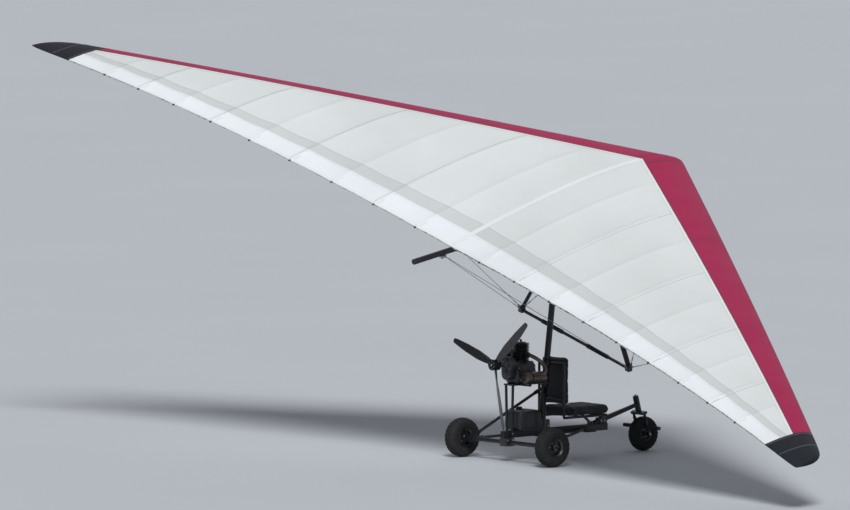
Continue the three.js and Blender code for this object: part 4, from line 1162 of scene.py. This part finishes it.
class GLIDER_OT_seat(bpy.types.Operator):
    """Build the seat's two sewn pads by a small cloth simulation, with piping and a lap belt"""

    bl_idname = "glider.seat"
    bl_label = "Seat"

    def execute(self, context):
        swell = context.scene.glider_seat.swell
        cushion = self.pad("cushion_pad", "seat_cushion", 0.06, 2, swell, 0, (0.27, 0.39, 0.51))
        self.pad("backrest_pad", "seat_back", 0.028, 0, swell, 2, (0.37, 0.476, 0.582))
        self.belt(cushion)
        return {"FINISHED"}

    def pad(self, name, node, corner, face_axis, swell, across, channels):
        """A pad inside the node's box, swollen by air, with piping and with channels sewn across
        one axis. The face axis is the one that the pad's front looks along."""
        box_low, box_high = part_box(node)
        start = Vector((0.45 * swell,) * 3)
        low, high = box_low + start, box_high - start
        shape = Shape()
        shape.box(low, high, min(corner, 0.48 * min(high - low)), rounds=4)
        pad = shape.build(name, "seat_cloth", "trike", replaces=(node,))
        pad.parent = None
        self.remesh(pad, 0.006)
        self.inflate(pad, swell)
        pad.data.calc_loop_triangles()
        normals = [v.normal.copy() for v in pad.data.vertices]
        for vert, normal in zip(pad.data.vertices, normals):
            if normal[face_axis] > 0.2:
                depth = sum(math.exp(-((vert.co[across] - at) / 0.007) ** 2) for at in channels)
                vert.co[face_axis] -= 0.006 * min(depth, 1) * ease((normal[face_axis] - 0.2) / 0.4)
            vert.co = [min(max(c, a), b) for c, a, b in zip(vert.co, box_low, box_high)]
        smooth = pad.modifiers.new("finer", "SUBSURF")
        smooth.levels = smooth.render_levels = 1
        bake(pad)
        pad.data.shade_smooth()
        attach(pad, "trike")
        self.piping(pad, name, face_axis, box_low, box_high)
        return pad

    def remesh(self, piece, voxel):
        modifier = piece.modifiers.new("remesh", "REMESH")
        modifier.mode, modifier.voxel_size = "VOXEL", voxel
        bake(piece)

    def inflate(self, piece, cap):
        """Blows the pad up with air, and moves no point further than the cap."""
        cloth = piece.modifiers.new("cloth", "CLOTH")
        cloth.settings.use_pressure = True
        cloth.settings.uniform_pressure_force = 4
        cloth.settings.effector_weights.gravity = 0
        cloth.point_cache.frame_start, cloth.point_cache.frame_end = 1, 20
        scene = bpy.context.scene
        rest = [v.co.copy() for v in piece.data.vertices]
        for number in range(1, 21):
            scene.frame_set(number)
        found = piece.evaluated_get(bpy.context.evaluated_depsgraph_get()).data
        moved = [v.co.copy() for v in found.vertices]
        piece.modifiers.clear()
        scene.frame_set(1)
        for vert, a, b in zip(piece.data.vertices, rest, moved):
            step = b - a
            if step.length > cap:
                step *= cap / step.length
            vert.co = a + step

    def piping(self, pad, name, face_axis, box_low, box_high):
        """Corded seam round the pad's widest outline."""
        others = [k for k in range(3) if k != face_axis]
        centre = (box_low + box_high) / 2
        count = 120
        reaches = [0.0] * count
        for vert in pad.data.vertices:
            if abs(vert.co[face_axis] - centre[face_axis]) > 0.008:
                continue
            u, v = (vert.co[k] - centre[k] for k in others)
            spot = int((math.atan2(v, u) / (2 * math.pi)) % 1 * count) % count
            reaches[spot] = max(reaches[spot], math.hypot(u, v))
        path = []
        for reach, turn in zip(reaches, circle(count, 0.5)):
            if reach:
                point = centre.copy()
                for k, share in zip(others, polar(reach, turn)):
                    point[k] = min(max(centre[k] + share, box_low[k] + 0.002), box_high[k] - 0.002)
                path.append(point)
        up = Vector([1.0 if k == face_axis else 0.0 for k in range(3)])
        rows = []
        for i, point in enumerate(path):
            out = (path[(i + 1) % len(path)] - path[i - 1]).normalized().cross(up)
            rows.append([point + (out * math.cos(a) + up * math.sin(a)) * 0.003 for a in circle(10)])
        shape = Shape()
        shape.skin(rows + [rows[0]], caps=False)
        shape.build(f"{name}_piping", "seat_piping", "trike")

    def belt(self, cushion):
        """Lap belt from the seat's frame over the cushion, with its buckle."""
        tree = BVHTree.FromObject(cushion, bpy.context.evaluated_depsgraph_get())

        def top_at(x, y, otherwise):
            hit = tree.ray_cast(Vector((x, y, 1.0)), Vector((0, 0, -1)))[0]
            return hit.z if hit else otherwise

        belt = Shape()
        for s in (1, -1):
            path = [((0.22, s * 0.2075, z), (0, s, 0)) for z in (0.165, 0.19, 0.215, 0.235)]
            for y in steps(0.198, 0.035, 14):
                x = 0.22 + 0.3 * (0.2 - y)
                path.append(((x, s * y, top_at(x, s * y, 0.24) + 0.0015),
                             (0, 0, 1) if y < 0.17 else (0, s * 0.6, 0.8)))
            belt.ribbon(path, 0.045, 0.0018)
        belt.build("lap_belt", "webbing", "trike")
        buckle = Shape()
        z = top_at(0.275, 0.0, 0.25) + 0.003
        buckle.box((0.245, -0.04, z), (0.3, 0.04, z + 0.012), 0.004)
        buckle.box((0.255, -0.018, z + 0.012), (0.29, 0.018, z + 0.017), 0.002)
        buckle.build("belt_buckle", "bare_alloy", "trike")


# The power unit

class GLIDER_OT_engine(bpy.types.Operator):
    """Build the crankcase, finned cylinder, drive housing, exhaust, carburettor and filter"""

    bl_idname = "glider.engine"
    bl_label = "Engine"

    def execute(self, context):
        self.crankcase()
        self.cylinder()
        self.drive()
        self.exhaust()
        self.intake()
        return {"FINISHED"}

    def crankcase(self):
        """Two case halves with a joint between them, ribs on the sides and the starter's cover."""
        shape = Shape()
        low, high = CASE_LOW, CASE_TOP - 0.0002
        half, tall, corner = 0.088, high - low, 0.034
        outline = [(corner - half, 0), (half - corner, 0), (half, corner), (half, tall - corner),
                   (half - corner, tall), (corner - half, tall), (-half, tall - corner), (-half, corner)]
        # Distance from a half's end, and how far the outline is drawn in there
        rounded = ((0, 0.004), (0.002, 0.0015), (0.0045, 0))
        for rear, front in ((-0.33, -0.236), (-0.234, CASE_FRONT)):
            sections = [(rear + d, inset) for d, inset in rounded]
            sections += [(front - d, inset) for d, inset in reversed(rounded)]
            shape.skin([[(x, y * (1 - inset / half), low + mix(z, tall / 2, 2 * inset / tall))
                         for y, z in outline] for x, inset in sections])
        for x, s in itertools.product((-0.3, -0.27, -0.2, -0.165), (1, -1)):
            a, b = sorted((s * 0.0865, s * 0.0895))
            shape.box((x - 0.002, a, low + 0.05), (x + 0.002, b, high - 0.045), 0.0008)
        shape.box((-0.2365, -0.085, low + 0.03), (-0.2335, 0.085, high - 0.03), 0.0008)
        shape.build("crankcase_shell", "cast_alloy", "trike", replaces=("engine_crankcase",))
        cover = Shape()
        spot = aim((CASE_FRONT, 0, CRANK_Z), (1, 0, 0))
        cover.turned([(0, 0), (0.07, 0), (0.07, 0.012), (0.064, 0.022), (0.05, 0.028), (0.02, 0.03),
                      (0, 0.03)], 48, spot)
        for a in circle(12):
            cover.box((0.03, -0.003, 0.0275), (0.056, 0.003, 0.0305), 0.001, spot @ spin(a))
        cover.build("starter_cover", "black_plastic", "trike")
        bolts = Shape()
        for y, z in (polar(0.066, a) for a in circle(6, 0.5)):
            bolts.bolt((CASE_FRONT + 0.012, y, CRANK_Z + z), (1, 0, 0), 0.004)
        bolts.side_bolts([((-0.315, -0.145), half, (low + 0.05, high - 0.05), 0.005)])
        bolts.build("engine_bolts", "bolt_steel", "trike")

    def cylinder(self):
        """Finned barrel and head, with the head's bolts and the plug's cap."""
        core, fin = 0.044, 0.0738
        profile = [(0, 0.0005), (0.06, 0.0005), (0.06, 0.005), (core, 0.006)]
        for z in (0.009 + 0.013 * i for i in range(12)):
            profile += [(core, z), (fin - 0.001, z), (fin, z + 0.001), (fin, z + 0.0035),
                        (fin - 0.001, z + 0.0045), (core, z + 0.0045)]
        profile += [(core, 0.164), (0.03, 0.166), (0.016, 0.168), (0.014, 0.17), (0, 0.17)]
        shape = Shape()
        shape.turned(profile, 64, Matrix.Translation((CYLINDER_X, 0, CASE_TOP)))
        shape.build("cylinder_fins", "dark_alloy", "trike", replaces=("engine_cylinder",))
        head = Shape()
        for x, y in (polar(0.033, a) for a in circle(4, 0.5)):
            head.bolt((CYLINDER_X + x, y, CASE_TOP + 0.1645), (0, 0, 1), 0.0055)
        head.build("head_bolts", "bolt_steel", "trike")
        plug = Shape()
        plug.turned([(0, 0), (0.009, 0), (0.009, 0.008), (0.0115, 0.01), (0.0115, 0.019), (0.008, 0.022),
                     (0, 0.022)], 24, Matrix.Translation((CYLINDER_X, 0, CASE_TOP + 0.168)))
        plug.build("plug_cap", "black_plastic", "trike")

    def drive(self):
        """Housing round the shaft above and the crank below, its two bosses and its bolts."""
        shape = Shape()
        rear, front = -0.398, -0.3305
        rows = []
        for x, grow in ((front, 0.0), (front - 0.03, 0.0), (rear + 0.006, -0.001), (rear + 0.0015, -0.003),
                        (rear, -0.007)):
            ring = []
            for a in circle(64):
                radius, middle = (0.062, SHAFT_Z) if math.sin(a) >= 0 else (0.058, CRANK_Z)
                y, z = polar(radius + grow, a)
                ring.append((x, y, middle + z))
            rows.append(ring)
        shape.skin(rows)
        shaft, crank = (aim((rear + 0.0005, 0, z), (-1, 0, 0)) for z in (SHAFT_Z, CRANK_Z))
        shape.turned([(0, 0), (0.04, 0), (0.036, 0.012), (0.028, 0.02), (0.024, 0.03), (0.024, 0.0834),
                      (0, 0.0834)], 40, shaft)
        shape.turned([(0, 0), (0.034, 0), (0.034, 0.004), (0.03, 0.006), (0, 0.006)], 40, crank)
        shape.build("drive_housing", "cast_alloy", "trike", replaces=("reduction_drive",))
        bolts = Shape()
        pairs = itertools.product(((0.052, 0.67), (0.05, 0.61), (0.046, 0.545)), (1, -1))
        for y, z in (*((s * y, z) for (y, z), s in pairs), (0, 0.702), (0, 0.515)):
            bolts.bolt((rear + 0.003, y, z), (-1, 0, 0), 0.0045)
        bolts.build("drive_bolts", "bolt_steel", "trike")

    def exhaust(self):
        """Bent pipe from the port down to the silencer, and the silencer's hanger."""
        z = CASE_TOP - 0.128
        # How far ahead of the cylinder's axis, place along y, height above the crankcase
        route = ((0, -0.0745, 0.06), (0, -0.13, 0.058), (0.06, -0.196, 0.005), (0.11, EXHAUST_Y, -0.07),
                 (0.06, EXHAUST_Y, -0.122))
        shape = Shape()
        shape.tube(smooth_path([(CYLINDER_X + x, y, CASE_TOP + up) for x, y, up in route], 10), 0.0168, 28)
        profile = [(0, 0), (0.02, 0.001), (0.044, 0.012), (0.0505, 0.022)]
        profile += [(0.0505, 0.06), (0.052, 0.063), (0.0505, 0.066)]
        profile += [(r, 0.24 - d) for r, d in reversed(profile)]
        shape.turned(profile, 48, aim((-0.36, EXHAUST_Y, z), (1, 0, 0)))
        outlet = ((-0.352, z - 0.01), (-0.375, z - 0.01), (-0.392, z - 0.014))
        shape.tube([(x, EXHAUST_Y, low) for x, low in outlet], 0.0138, 24)
        for y, up in ((-0.079, 0.06), (-0.1, 0.0595)):
            shape.disc(0.024, 0.005, 28, aim((CYLINDER_X, y, CASE_TOP + up), (0, -1, 0)))
        shape.build("exhaust_system", "exhaust_steel", "trike", replaces=("exhaust",))
        hanger = Shape()
        hanger.box((-0.3, -0.196, 0.4612), (-0.276, -0.0605, 0.4705), 0.002)
        hanger.box((-0.3, -0.206, 0.4612), (-0.276, -0.19, z - 0.045), 0.002)
        hanger.hoop((-0.288, EXHAUST_Y, z), (1, 0, 0), 0.0522, 0.003, segments=48)
        hanger.build("exhaust_hanger", "dark_alloy", "trike")

    def intake(self):
        """Carburettor on its stub, and the pleated filter between its two caps."""
        x, z = CYLINDER_X, PORT_Z
        shape = Shape()
        shape.tube([(x, 0.0745, z), (x, 0.09, z)], [0.024, 0.02], 28)
        shape.box((x - 0.024, 0.088, z - 0.014), (x + 0.024, 0.122, z + 0.014), 0.004)
        shape.box((x - 0.017, 0.09, z - 0.044), (x + 0.017, 0.12, z - 0.012), 0.005)
        shape.tube([(x, 0.12, z), (x, 0.136, z)], 0.02, 28)
        shape.disc(0.008, 0.008, 16, aim((x, 0.105, z + 0.013), (0, 0, 1)), 0.002)
        shape.build("carburettor", "cast_alloy", "trike", replaces=("air_filter",))
        pleats = Shape()
        rows = []
        for y, radius in ((0.1345, 0.03), (0.136, 0.0445), (0.2, 0.0355), (0.202, 0.02)):
            ring = []
            for k, a in enumerate(circle(96)):
                across, up = polar(radius - (0.004 if k % 4 in (1, 2) and radius > 0.031 else 0), a)
                ring.append((x + across, y, z + up))
            rows.append(ring)
        pleats.skin(rows)
        pleats.build("filter_pleats", "filter_felt", "trike")
        caps = Shape()
        caps.disc(0.046, 0.006, 40, aim((x, 0.132, z), (0, 1, 0)))
        caps.turned([(0, 0), (0.037, 0), (0.037, 0.01), (0.033, 0.0135), (0, 0.0135)], 40,
                    aim((x, 0.2, z), (0, 1, 0)))
        caps.build("filter_caps", "black_plastic", "trike")


class GLIDER_OT_fuel_tank(bpy.types.Operator):
    """Build the moulded tank with its ribbed cap and its straps"""

    bl_idname = "glider.fuel_tank"
    bl_label = "Fuel tank"

    def execute(self, context):
        tank = Shape()
        tank.box((-0.322, -0.112, 0.0706), (-0.072, 0.112, 0.24), 0.03, rounds=5)
        tank.build("tank_shell", "tank_plastic", "trike", replaces=("fuel_tank",))
        strap = Shape()
        # Distance from the middle, height, and how far the strap's face looks out and up
        bends = ((0.1135, 0.1, 1, 0), (0.1135, 0.21, 1, 0), (0.104, 0.232, 0.7, 0.7), (0.082, 0.2405, 0, 1))
        for x in (-0.255, -0.14):
            right = [((x, -y, z), (0, -out, up)) for y, z, out, up in bends]
            left = [((x, y, z), (0, out, up)) for y, z, out, up in reversed(bends)]
            strap.ribbon([*right, ((x, 0, 0.241), (0, 0, 1)), *left], 0.025, 0.0016)
        strap.build("tank_straps", "webbing", "trike")
        cap = Shape()
        spot = Matrix.Translation((-0.1975, 0.055, 0.2395))
        cap.turned([(0, 0), (0.03, 0), (0.03, 0.006), (0.026, 0.008), (0.026, 0.02), (0.022, 0.024),
                    (0, 0.024)], 36, spot)
        for a in circle(10):
            cap.box((0.0245, -0.002, 0.008), (0.028, 0.002, 0.02), 0.0008, spot @ spin(a))
        cap.build("tank_cap", "black_plastic", "trike")
        return {"FINISHED"}


class GLIDER_OT_propeller(bpy.types.Operator):
    """Build the three blades, their roots, the hub plates and bolts"""

    bl_idname = "glider.propeller"
    bl_label = "Propeller"

    def execute(self, context):
        blades = Shape()
        for k in range(3):
            turn = Matrix.Translation(PROP_CENTRE) @ spin(math.radians(18 + 120 * k), "X")
            blades.skin(self.sections(), place=turn @ spin(math.pi / 2, "Y"))
        blades.build("propeller_blades", "carbon", "propeller", sharp=60, replaces=("propeller",))
        hub = Shape()
        hub.turned([(0, -0.038), (0.046, -0.038), (0.048, -0.036), (0.048, -0.022), (0.044, -0.02),
                    (0.044, 0.02), (0.048, 0.022), (0.048, 0.034), (0.046, 0.036), (0, 0.036)], 48,
                   aim(PROP_CENTRE, (-1, 0, 0)))
        hub.build("propeller_hub", "dark_alloy", "propeller", slot="carbon")
        bolts = Shape()
        x, y, z = PROP_CENTRE
        for across, up in (polar(0.034, a) for a in circle(6, 0.5)):
            bolts.bolt((x - 0.0315, across, z + up), (-1, 0, 0), 0.005)
        bolts.disc(0.011, 0.001, 24, aim((x - 0.0362, y, z), (-1, 0, 0)), 0.001)
        bolts.build("propeller_bolts", "bolt_steel", "propeller")
        return {"FINISHED"}

    def sections(self):
        """Rings of one blade, from its root to its tip."""
        # Radius from the shaft, chord, thickness, pitch in degrees
        table = [(0.03, 0.04, 0.026, 50), (0.11, 0.062, 0.02, 38), (0.225, 0.078, 0.014, 26),
                 (0.4, 0.07, 0.009, 17), (0.52, 0.052, 0.006, 13), (0.56, 0.043, 0.005, 12),
                 (0.57, 0.034, 0.0045, 11.5), (0.5745, 0.024, 0.0035, 11)]
        rows = []
        for low, high in zip(table, table[1:]):
            parts = max(int((high[0] - low[0]) / 0.03), 1)
            for k in range(parts):
                rows.append(self.ring(*(mix(a, b, k / parts) for a, b in zip(low, high))))
        return rows + [self.ring(*table[-1])]

    def ring(self, radius, chord, thick, pitch):
        """One section of a blade, fuller on its front side."""
        turn = Matrix.Rotation(math.radians(pitch), 3, "Y")
        ring = []
        for a in circle(28):
            x = 0.5 * chord * math.cos(a)
            z = 0.5 * thick * math.sin(a) * (1 - 0.45 * math.cos(a)) / 1.12
            point = turn @ Vector((x, 0, z))
            ring.append((point.x, radius, point.z))
        return ring


class GLIDER_OT_wheels(bpy.types.Operator):
    """Build the treaded tyres and the spoked rims"""

    bl_idname = "glider.wheels"
    bl_label = "Wheels"

    def execute(self, context):
        for side, s in SIDES:
            spot = aim(REAR_AXLE + Vector((0, s * HALF_TRACK, 0)), (0, s, 0))
            names = (f"rear_{side}", f"rear_wheel_{side}", f"rear_tyre_{side}", f"rear_rim_{side}")
            self.wheel(*names, spot, radius=0.17, width=0.125, barrel=0.076, hub=0.05)
        self.wheel("front", "front_wheel", "front_tyre", "front_rim", aim(FRONT_AXLE, (0, 1, 0)), radius=0.15,
                   width=0.1, barrel=0.062, hub=0.042)
        return {"FINISHED"}

    def wheel(self, name, body, tyre_node, rim_node, spot, radius, width, barrel, hub):
        self.tyre(name, spot, radius, width, barrel, body, tyre_node)
        self.rim(name, spot, width, barrel, hub, body, rim_node)
        self.trim(name, spot, barrel, hub, body)

    def tyre(self, name, spot, radius, width, rim, body, node):
        depth = bpy.context.scene.glider_chassis.tread_depth
        w = width / 2
        bead = 0.7 * w
        wall = radius - rim
        plain, lugs, gap, blocks, centre = range(5)
        # Radius, distance from the middle, and the kind of tread there
        half = [(rim + 0.001, bead, plain), (rim + 0.006, bead + 0.001, plain), (rim + 0.01, 0.86 * w, plain),
                (rim + 0.25 * wall, 0.95 * w, plain), (rim + 0.4 * wall, 0.995 * w, plain),
                (rim + 0.55 * wall, 0.99 * w, plain), (rim + 0.7 * wall, 0.945 * w, plain),
                (rim + 0.78 * wall, 0.9 * w, lugs), (radius - 0.0125, 0.78 * w, lugs),
                (radius - 0.008, 0.66 * w, lugs), (radius - 0.0045, 0.53 * w, lugs),
                (radius - 0.004, 0.5 * w, gap), (radius - 0.0035, 0.47 * w, gap),
                (radius - 0.003, 0.44 * w, blocks), (radius - 0.0015, 0.3 * w, blocks),
                (radius - 0.001, 0.2 * w, blocks), (radius - 0.0008, 0.18 * w, gap),
                (radius - 0.0006, 0.12 * w, gap), (radius - 0.0004, 0.1 * w, centre), (radius, 0, centre)]
        rows = []
        for r, y, kind in half + [(r, -y, kind) for r, y, kind in reversed(half[:-1])]:
            ring = []
            for k, a in enumerate(circle(144)):
                phase = (k + (3 if y < 0 else 0)) % 6
                cut = kind == gap or (kind in (lugs, blocks) and phase in (0, 1))
                ring.append((*polar(r - (depth if cut else 0), a), y))
            rows.append(ring)
        shape = Shape()
        shape.skin(rows + [rows[0]], caps=False, place=spot)
        for y in (0.93 * w, -0.93 * w):
            shape.hoop((0, 0, y), (0, 0, 1), rim + 0.34 * wall, 0.0022, spot, 96, 6)
        shape.build(f"{name}_tyre_tread", "tyre_rubber", body, sharp=28, replaces=(node,))

    def rim(self, name, spot, width, barrel, hub, body, node):
        bead = 0.35 * width
        half = [(0.0106, hub), (0.024, hub), (0.026, hub - 0.002), (0.028, 0.016), (0.034, 0.012),
                (barrel - 0.02, 0.01), (barrel - 0.012, 0.014), (barrel - 0.009, bead - 0.004),
                (barrel + 0.002, bead + 0.003), (barrel + 0.006, bead + 0.0078),
                (barrel + 0.0078, bead + 0.0065), (barrel + 0.0078, bead + 0.0008),
                (barrel - 0.0002, bead + 0.0006)]
        shape = Shape()
        shape.turned(half + [(r, -y) for r, y in reversed(half)] + [half[0]], 72, spot)
        for (low, high), a in itertools.product(((0.009, 0.018), (-0.018, -0.009)), circle(5)):
            shape.box((0.026, -0.009, low), (barrel - 0.01, 0.009, high), 0.003, spot @ spin(a))
        shape.build(f"{name}_rim_casting", "wheel_alloy", body, replaces=(node,))

    def trim(self, name, spot, barrel, hub, body):
        """The rim's bolts, the washer on the axle and the valve."""
        trim = Shape()
        for (x, y), face in itertools.product([polar(0.033, a) for a in circle(5, 0.5)], (1, -1)):
            trim.bolt((x, y, face * 0.0125), (0, 0, face), 0.0035, spot)
        trim.turned([(0.0108, 0), (0.021, 0), (0.021, 0.0015), (0.0108, 0.0015), (0.0108, 0)], 32,
                    spot @ Matrix.Translation((0, 0, hub - 0.0012)))
        valve = [(barrel - 0.014, 0, 0.012), (barrel - 0.018, 0, 0.024), (barrel - 0.02, 0, 0.034)]
        trim.tube(valve, 0.003, 12, spot, 0.001)
        trim.build(f"{name}_wheel_bolts", "bolt_steel", body)


class GLIDER_OT_front_fork(bpy.types.Operator):
    """Add peg sleeves, clamps and the crown's and axle's bolts to the front fork"""

    bl_idname = "glider.front_fork"
    bl_label = "Front fork"

    def execute(self, context):
        sleeves, bolts, clamps = Shape(), Shape(), Shape()
        for s in (1, -1):
            sleeves.collar((0, s * 0.161, 0.062), (0, s, 0), 0.0155, 0.061, 28, 0.004, 0.003)
            for k in range(8):
                sleeves.hoop((0, s * (0.112 + 0.0142 * k), 0.062), (0, 1, 0), 0.0152, 0.0016)
            bolts.bolt((0, s * 0.072, 0.202), (0, 0, 1), 0.007)
            bolts.bolt((0.024, s * 0.05, 0.191), (1, 0, 0), 0.0045)
            bolts.bolt((0, s * 0.092, 0), (0, s, 0), 0.008)
            for z in (0.04, 0.14):
                clamps.collar((0, s * 0.072, z), (0, 0, 1), 0.0145, 0.01)
        bolts.bolt((0, 0, 0.344), (0, 0, 1), 0.011)
        sleeves.build("peg_sleeves", "grip_rubber", "front_fork")
        bolts.build("fork_bolts", "bolt_steel", "front_fork")
        clamps.build("fork_clamps", "dark_alloy", "front_fork")
        return {"FINISHED"}


class GLIDER_OT_finishes(bpy.types.Operator):
    """Give each part of the frame that still shows its finish, smooth round faces and soft edges"""

    bl_idname = "glider.finishes"
    bl_label = "Finishes"

    def execute(self, context):
        finishes = {}
        for finish, row in finish_table().items():
            finishes.setdefault(row[0], finish)
        slots = {row["node"]: row["material_slot"] for row in frame["record"]["subparts"]}
        smooth = self.smooth_faces()
        for name, node in frame["nodes"].items():
            if node.hide_render:
                continue
            node.data.materials.clear()
            node.data.materials.append(material(finishes[slots[name]]))
            node.modifiers.new("smooth", "NODES").node_group = smooth
            if name in EDGED:
                edges = node.modifiers.new("edges", "BEVEL")
                edges.width, edges.segments, edges.angle_limit = EDGED[name], 2, math.radians(50)
            node.modifiers.new("even", "WEIGHTED_NORMAL").keep_sharp = True
        return {"FINISHED"}

    def smooth_faces(self):
        """Node group that joins a part's triangles and keeps only the edges of a clear corner sharp."""
        group = bpy.data.node_groups.new("smooth_faces", "GeometryNodeTree")
        for way in ("INPUT", "OUTPUT"):
            group.interface.new_socket("Geometry", in_out=way, socket_type="NodeSocketGeometry")
        kinds = ("NodeGroupInput", "GeometryNodeMergeByDistance", "GeometryNodeRemoveAttribute",
                 "GeometryNodeSetShadeSmooth", "GeometryNodeSetShadeSmooth", "NodeGroupOutput")
        chain = [group.nodes.new(kind) for kind in kinds]
        for source, target in zip(chain, chain[1:]):
            group.links.new(source.outputs[0], target.inputs[0])
        joined, plain, edges = chain[1], chain[2], chain[4]
        joined.inputs["Distance"].default_value = 0.00001
        plain.inputs["Name"].default_value = "custom_normal"
        edges.domain = "EDGE"
        edges.inputs["Shade Smooth"].default_value = False
        bend = group.nodes.new("GeometryNodeInputMeshEdgeAngle")
        corner = group.nodes.new("FunctionNodeCompare")
        corner.inputs[1].default_value = SHARP_FROM
        group.links.new(bend.outputs["Unsigned Angle"], corner.inputs[0])
        group.links.new(corner.outputs[0], edges.inputs["Selection"])
        return group


class GLIDER_OT_stage(bpy.types.Operator):
    """Set the floor, the soft light and the camera"""

    bl_idname = "glider.stage"
    bl_label = "Stage"

    def execute(self, context):
        size = 400
        corners = [(-size, -size, 0), (size, -size, 0), (size, size, 0), (-size, size, 0)]
        mesh = bpy.data.meshes.new("floor")
        mesh.from_pydata(corners, [], [[0, 1, 2, 3]])
        mesh.materials.append(material("floor"))
        ground = add("floor", mesh)
        ground.location.z = FLOOR_Z - 0.001
        self.sun("key", (-0.55, -0.75, 1), 2.62, 20)
        self.sun("fill", (0.8, 0.5, 0.7), 0.36, 60)
        context.scene.world = self.sky()
        context.scene.view_settings.view_transform = "Standard"
        context.scene.camera = self.camera(context.scene.glider_stage)
        return {"FINISHED"}

    def sky(self):
        """Soft light from all round, behind which the wall looks like the floor."""
        world = bpy.data.worlds.new("sky")
        world.use_nodes = True
        tree = world.node_tree
        light = tree.nodes["Background"]
        kinds = ("Background", "LightPath", "MixShader")
        wall, seen, both = (tree.nodes.new(f"ShaderNode{kind}") for kind in kinds)
        for source, rgb, strength in ((light, (0.8, 0.86, 0.95, 1), 0.16),
                                      (wall, (0.885, 0.93, 1, 1), 0.515)):
            source.inputs["Color"].default_value = rgb
            source.inputs["Strength"].default_value = strength
        for k, output in enumerate((seen.outputs["Is Camera Ray"], light.outputs[0], wall.outputs[0])):
            tree.links.new(output, both.inputs[k])
        tree.links.new(both.outputs[0], tree.nodes["World Output"].inputs["Surface"])
        return world

    def sun(self, name, source, strength, spread):
        data = bpy.data.lights.new(name, "SUN")
        data.energy, data.angle = strength, math.radians(spread)
        add(name, data).rotation_euler = Vector(source).to_track_quat("Z", "Y").to_euler()

    def camera(self, stage):
        """Looks from the photo's side and height, with the whole aircraft in the middle."""
        a, e = stage.azimuth, stage.elevation
        back = Vector((math.sin(a) * math.cos(e), -math.cos(a) * math.cos(e), math.sin(e)))
        right = Vector((math.cos(a), math.sin(a), 0))
        up = back.cross(right)
        points = [v.co for node in frame["nodes"].values() for v in node.data.vertices]
        centre = sum((Vector(corner) for corner in CAD_BOX), Vector()) / 2
        for _ in range(3):
            offsets = [p - centre for p in points]
            depths = [1 - o.dot(back) / stage.distance for o in offsets]
            across = [o.dot(right) / d for o, d in zip(offsets, depths)]
            height = [o.dot(up) / d for o, d in zip(offsets, depths)]
            centre += right * (max(across) + min(across)) / 2 + up * (max(height) + min(height)) / 2
        data = bpy.data.cameras.new("camera")
        wide = max(max(across) - min(across), (max(height) - min(height)) * PHOTO_SHAPE) * MARGIN
        data.sensor_width = 36
        data.lens = data.sensor_width * stage.distance / wide
        data.clip_end = 1000
        camera = add("camera", data)
        camera.location = centre + back * stage.distance
        camera.rotation_euler = back.to_track_quat("Z", "Y").to_euler()
        return camera


# Panel and registration

STEPS = (GLIDER_OT_stage, GLIDER_OT_sail, GLIDER_OT_leading_edge, GLIDER_OT_tips, GLIDER_OT_keel_pocket,
         GLIDER_OT_control_frame, GLIDER_OT_rigging, GLIDER_OT_hang_joint, GLIDER_OT_chassis, GLIDER_OT_seat,
         GLIDER_OT_engine, GLIDER_OT_fuel_tank, GLIDER_OT_propeller, GLIDER_OT_wheels, GLIDER_OT_front_fork,
         GLIDER_OT_finishes)
GROUPS = (("glider_sail", GliderSail), ("glider_chassis", GliderChassis), ("glider_seat", GliderSeat),
          ("glider_stage", GliderStage))


class GLIDER_PT_panel(bpy.types.Panel):
    """Buttons and settings of the hang glider"""

    bl_label = "Hang glider"
    bl_idname = "GLIDER_PT_panel"
    bl_space_type = "VIEW_3D"
    bl_region_type = "UI"
    bl_category = "Hang glider"

    def draw(self, context):
        for name, group in GROUPS:
            box = self.layout.box()
            settings = getattr(context.scene, name)
            for prop in settings.bl_rna.properties:
                if prop.identifier not in ("rna_type", "name"):
                    box.prop(settings, prop.identifier)
        for step in STEPS:
            self.layout.operator(step.bl_idname)


def register():
    for name, group in GROUPS:
        bpy.utils.register_class(group)
        setattr(bpy.types.Scene, name, bpy.props.PointerProperty(type=group))
    for item in (*STEPS, GLIDER_PT_panel):
        bpy.utils.register_class(item)


def unregister():
    for item in reversed((*STEPS, GLIDER_PT_panel)):
        bpy.utils.unregister_class(item)
    for name, group in reversed(GROUPS):
        delattr(bpy.types.Scene, name)
        bpy.utils.unregister_class(group)


def main():
    register()
    for step in STEPS:
        name = step.bl_idname.split(".")[1]
        getattr(bpy.ops.glider, name)()


if __name__ == "__main__":
    main()
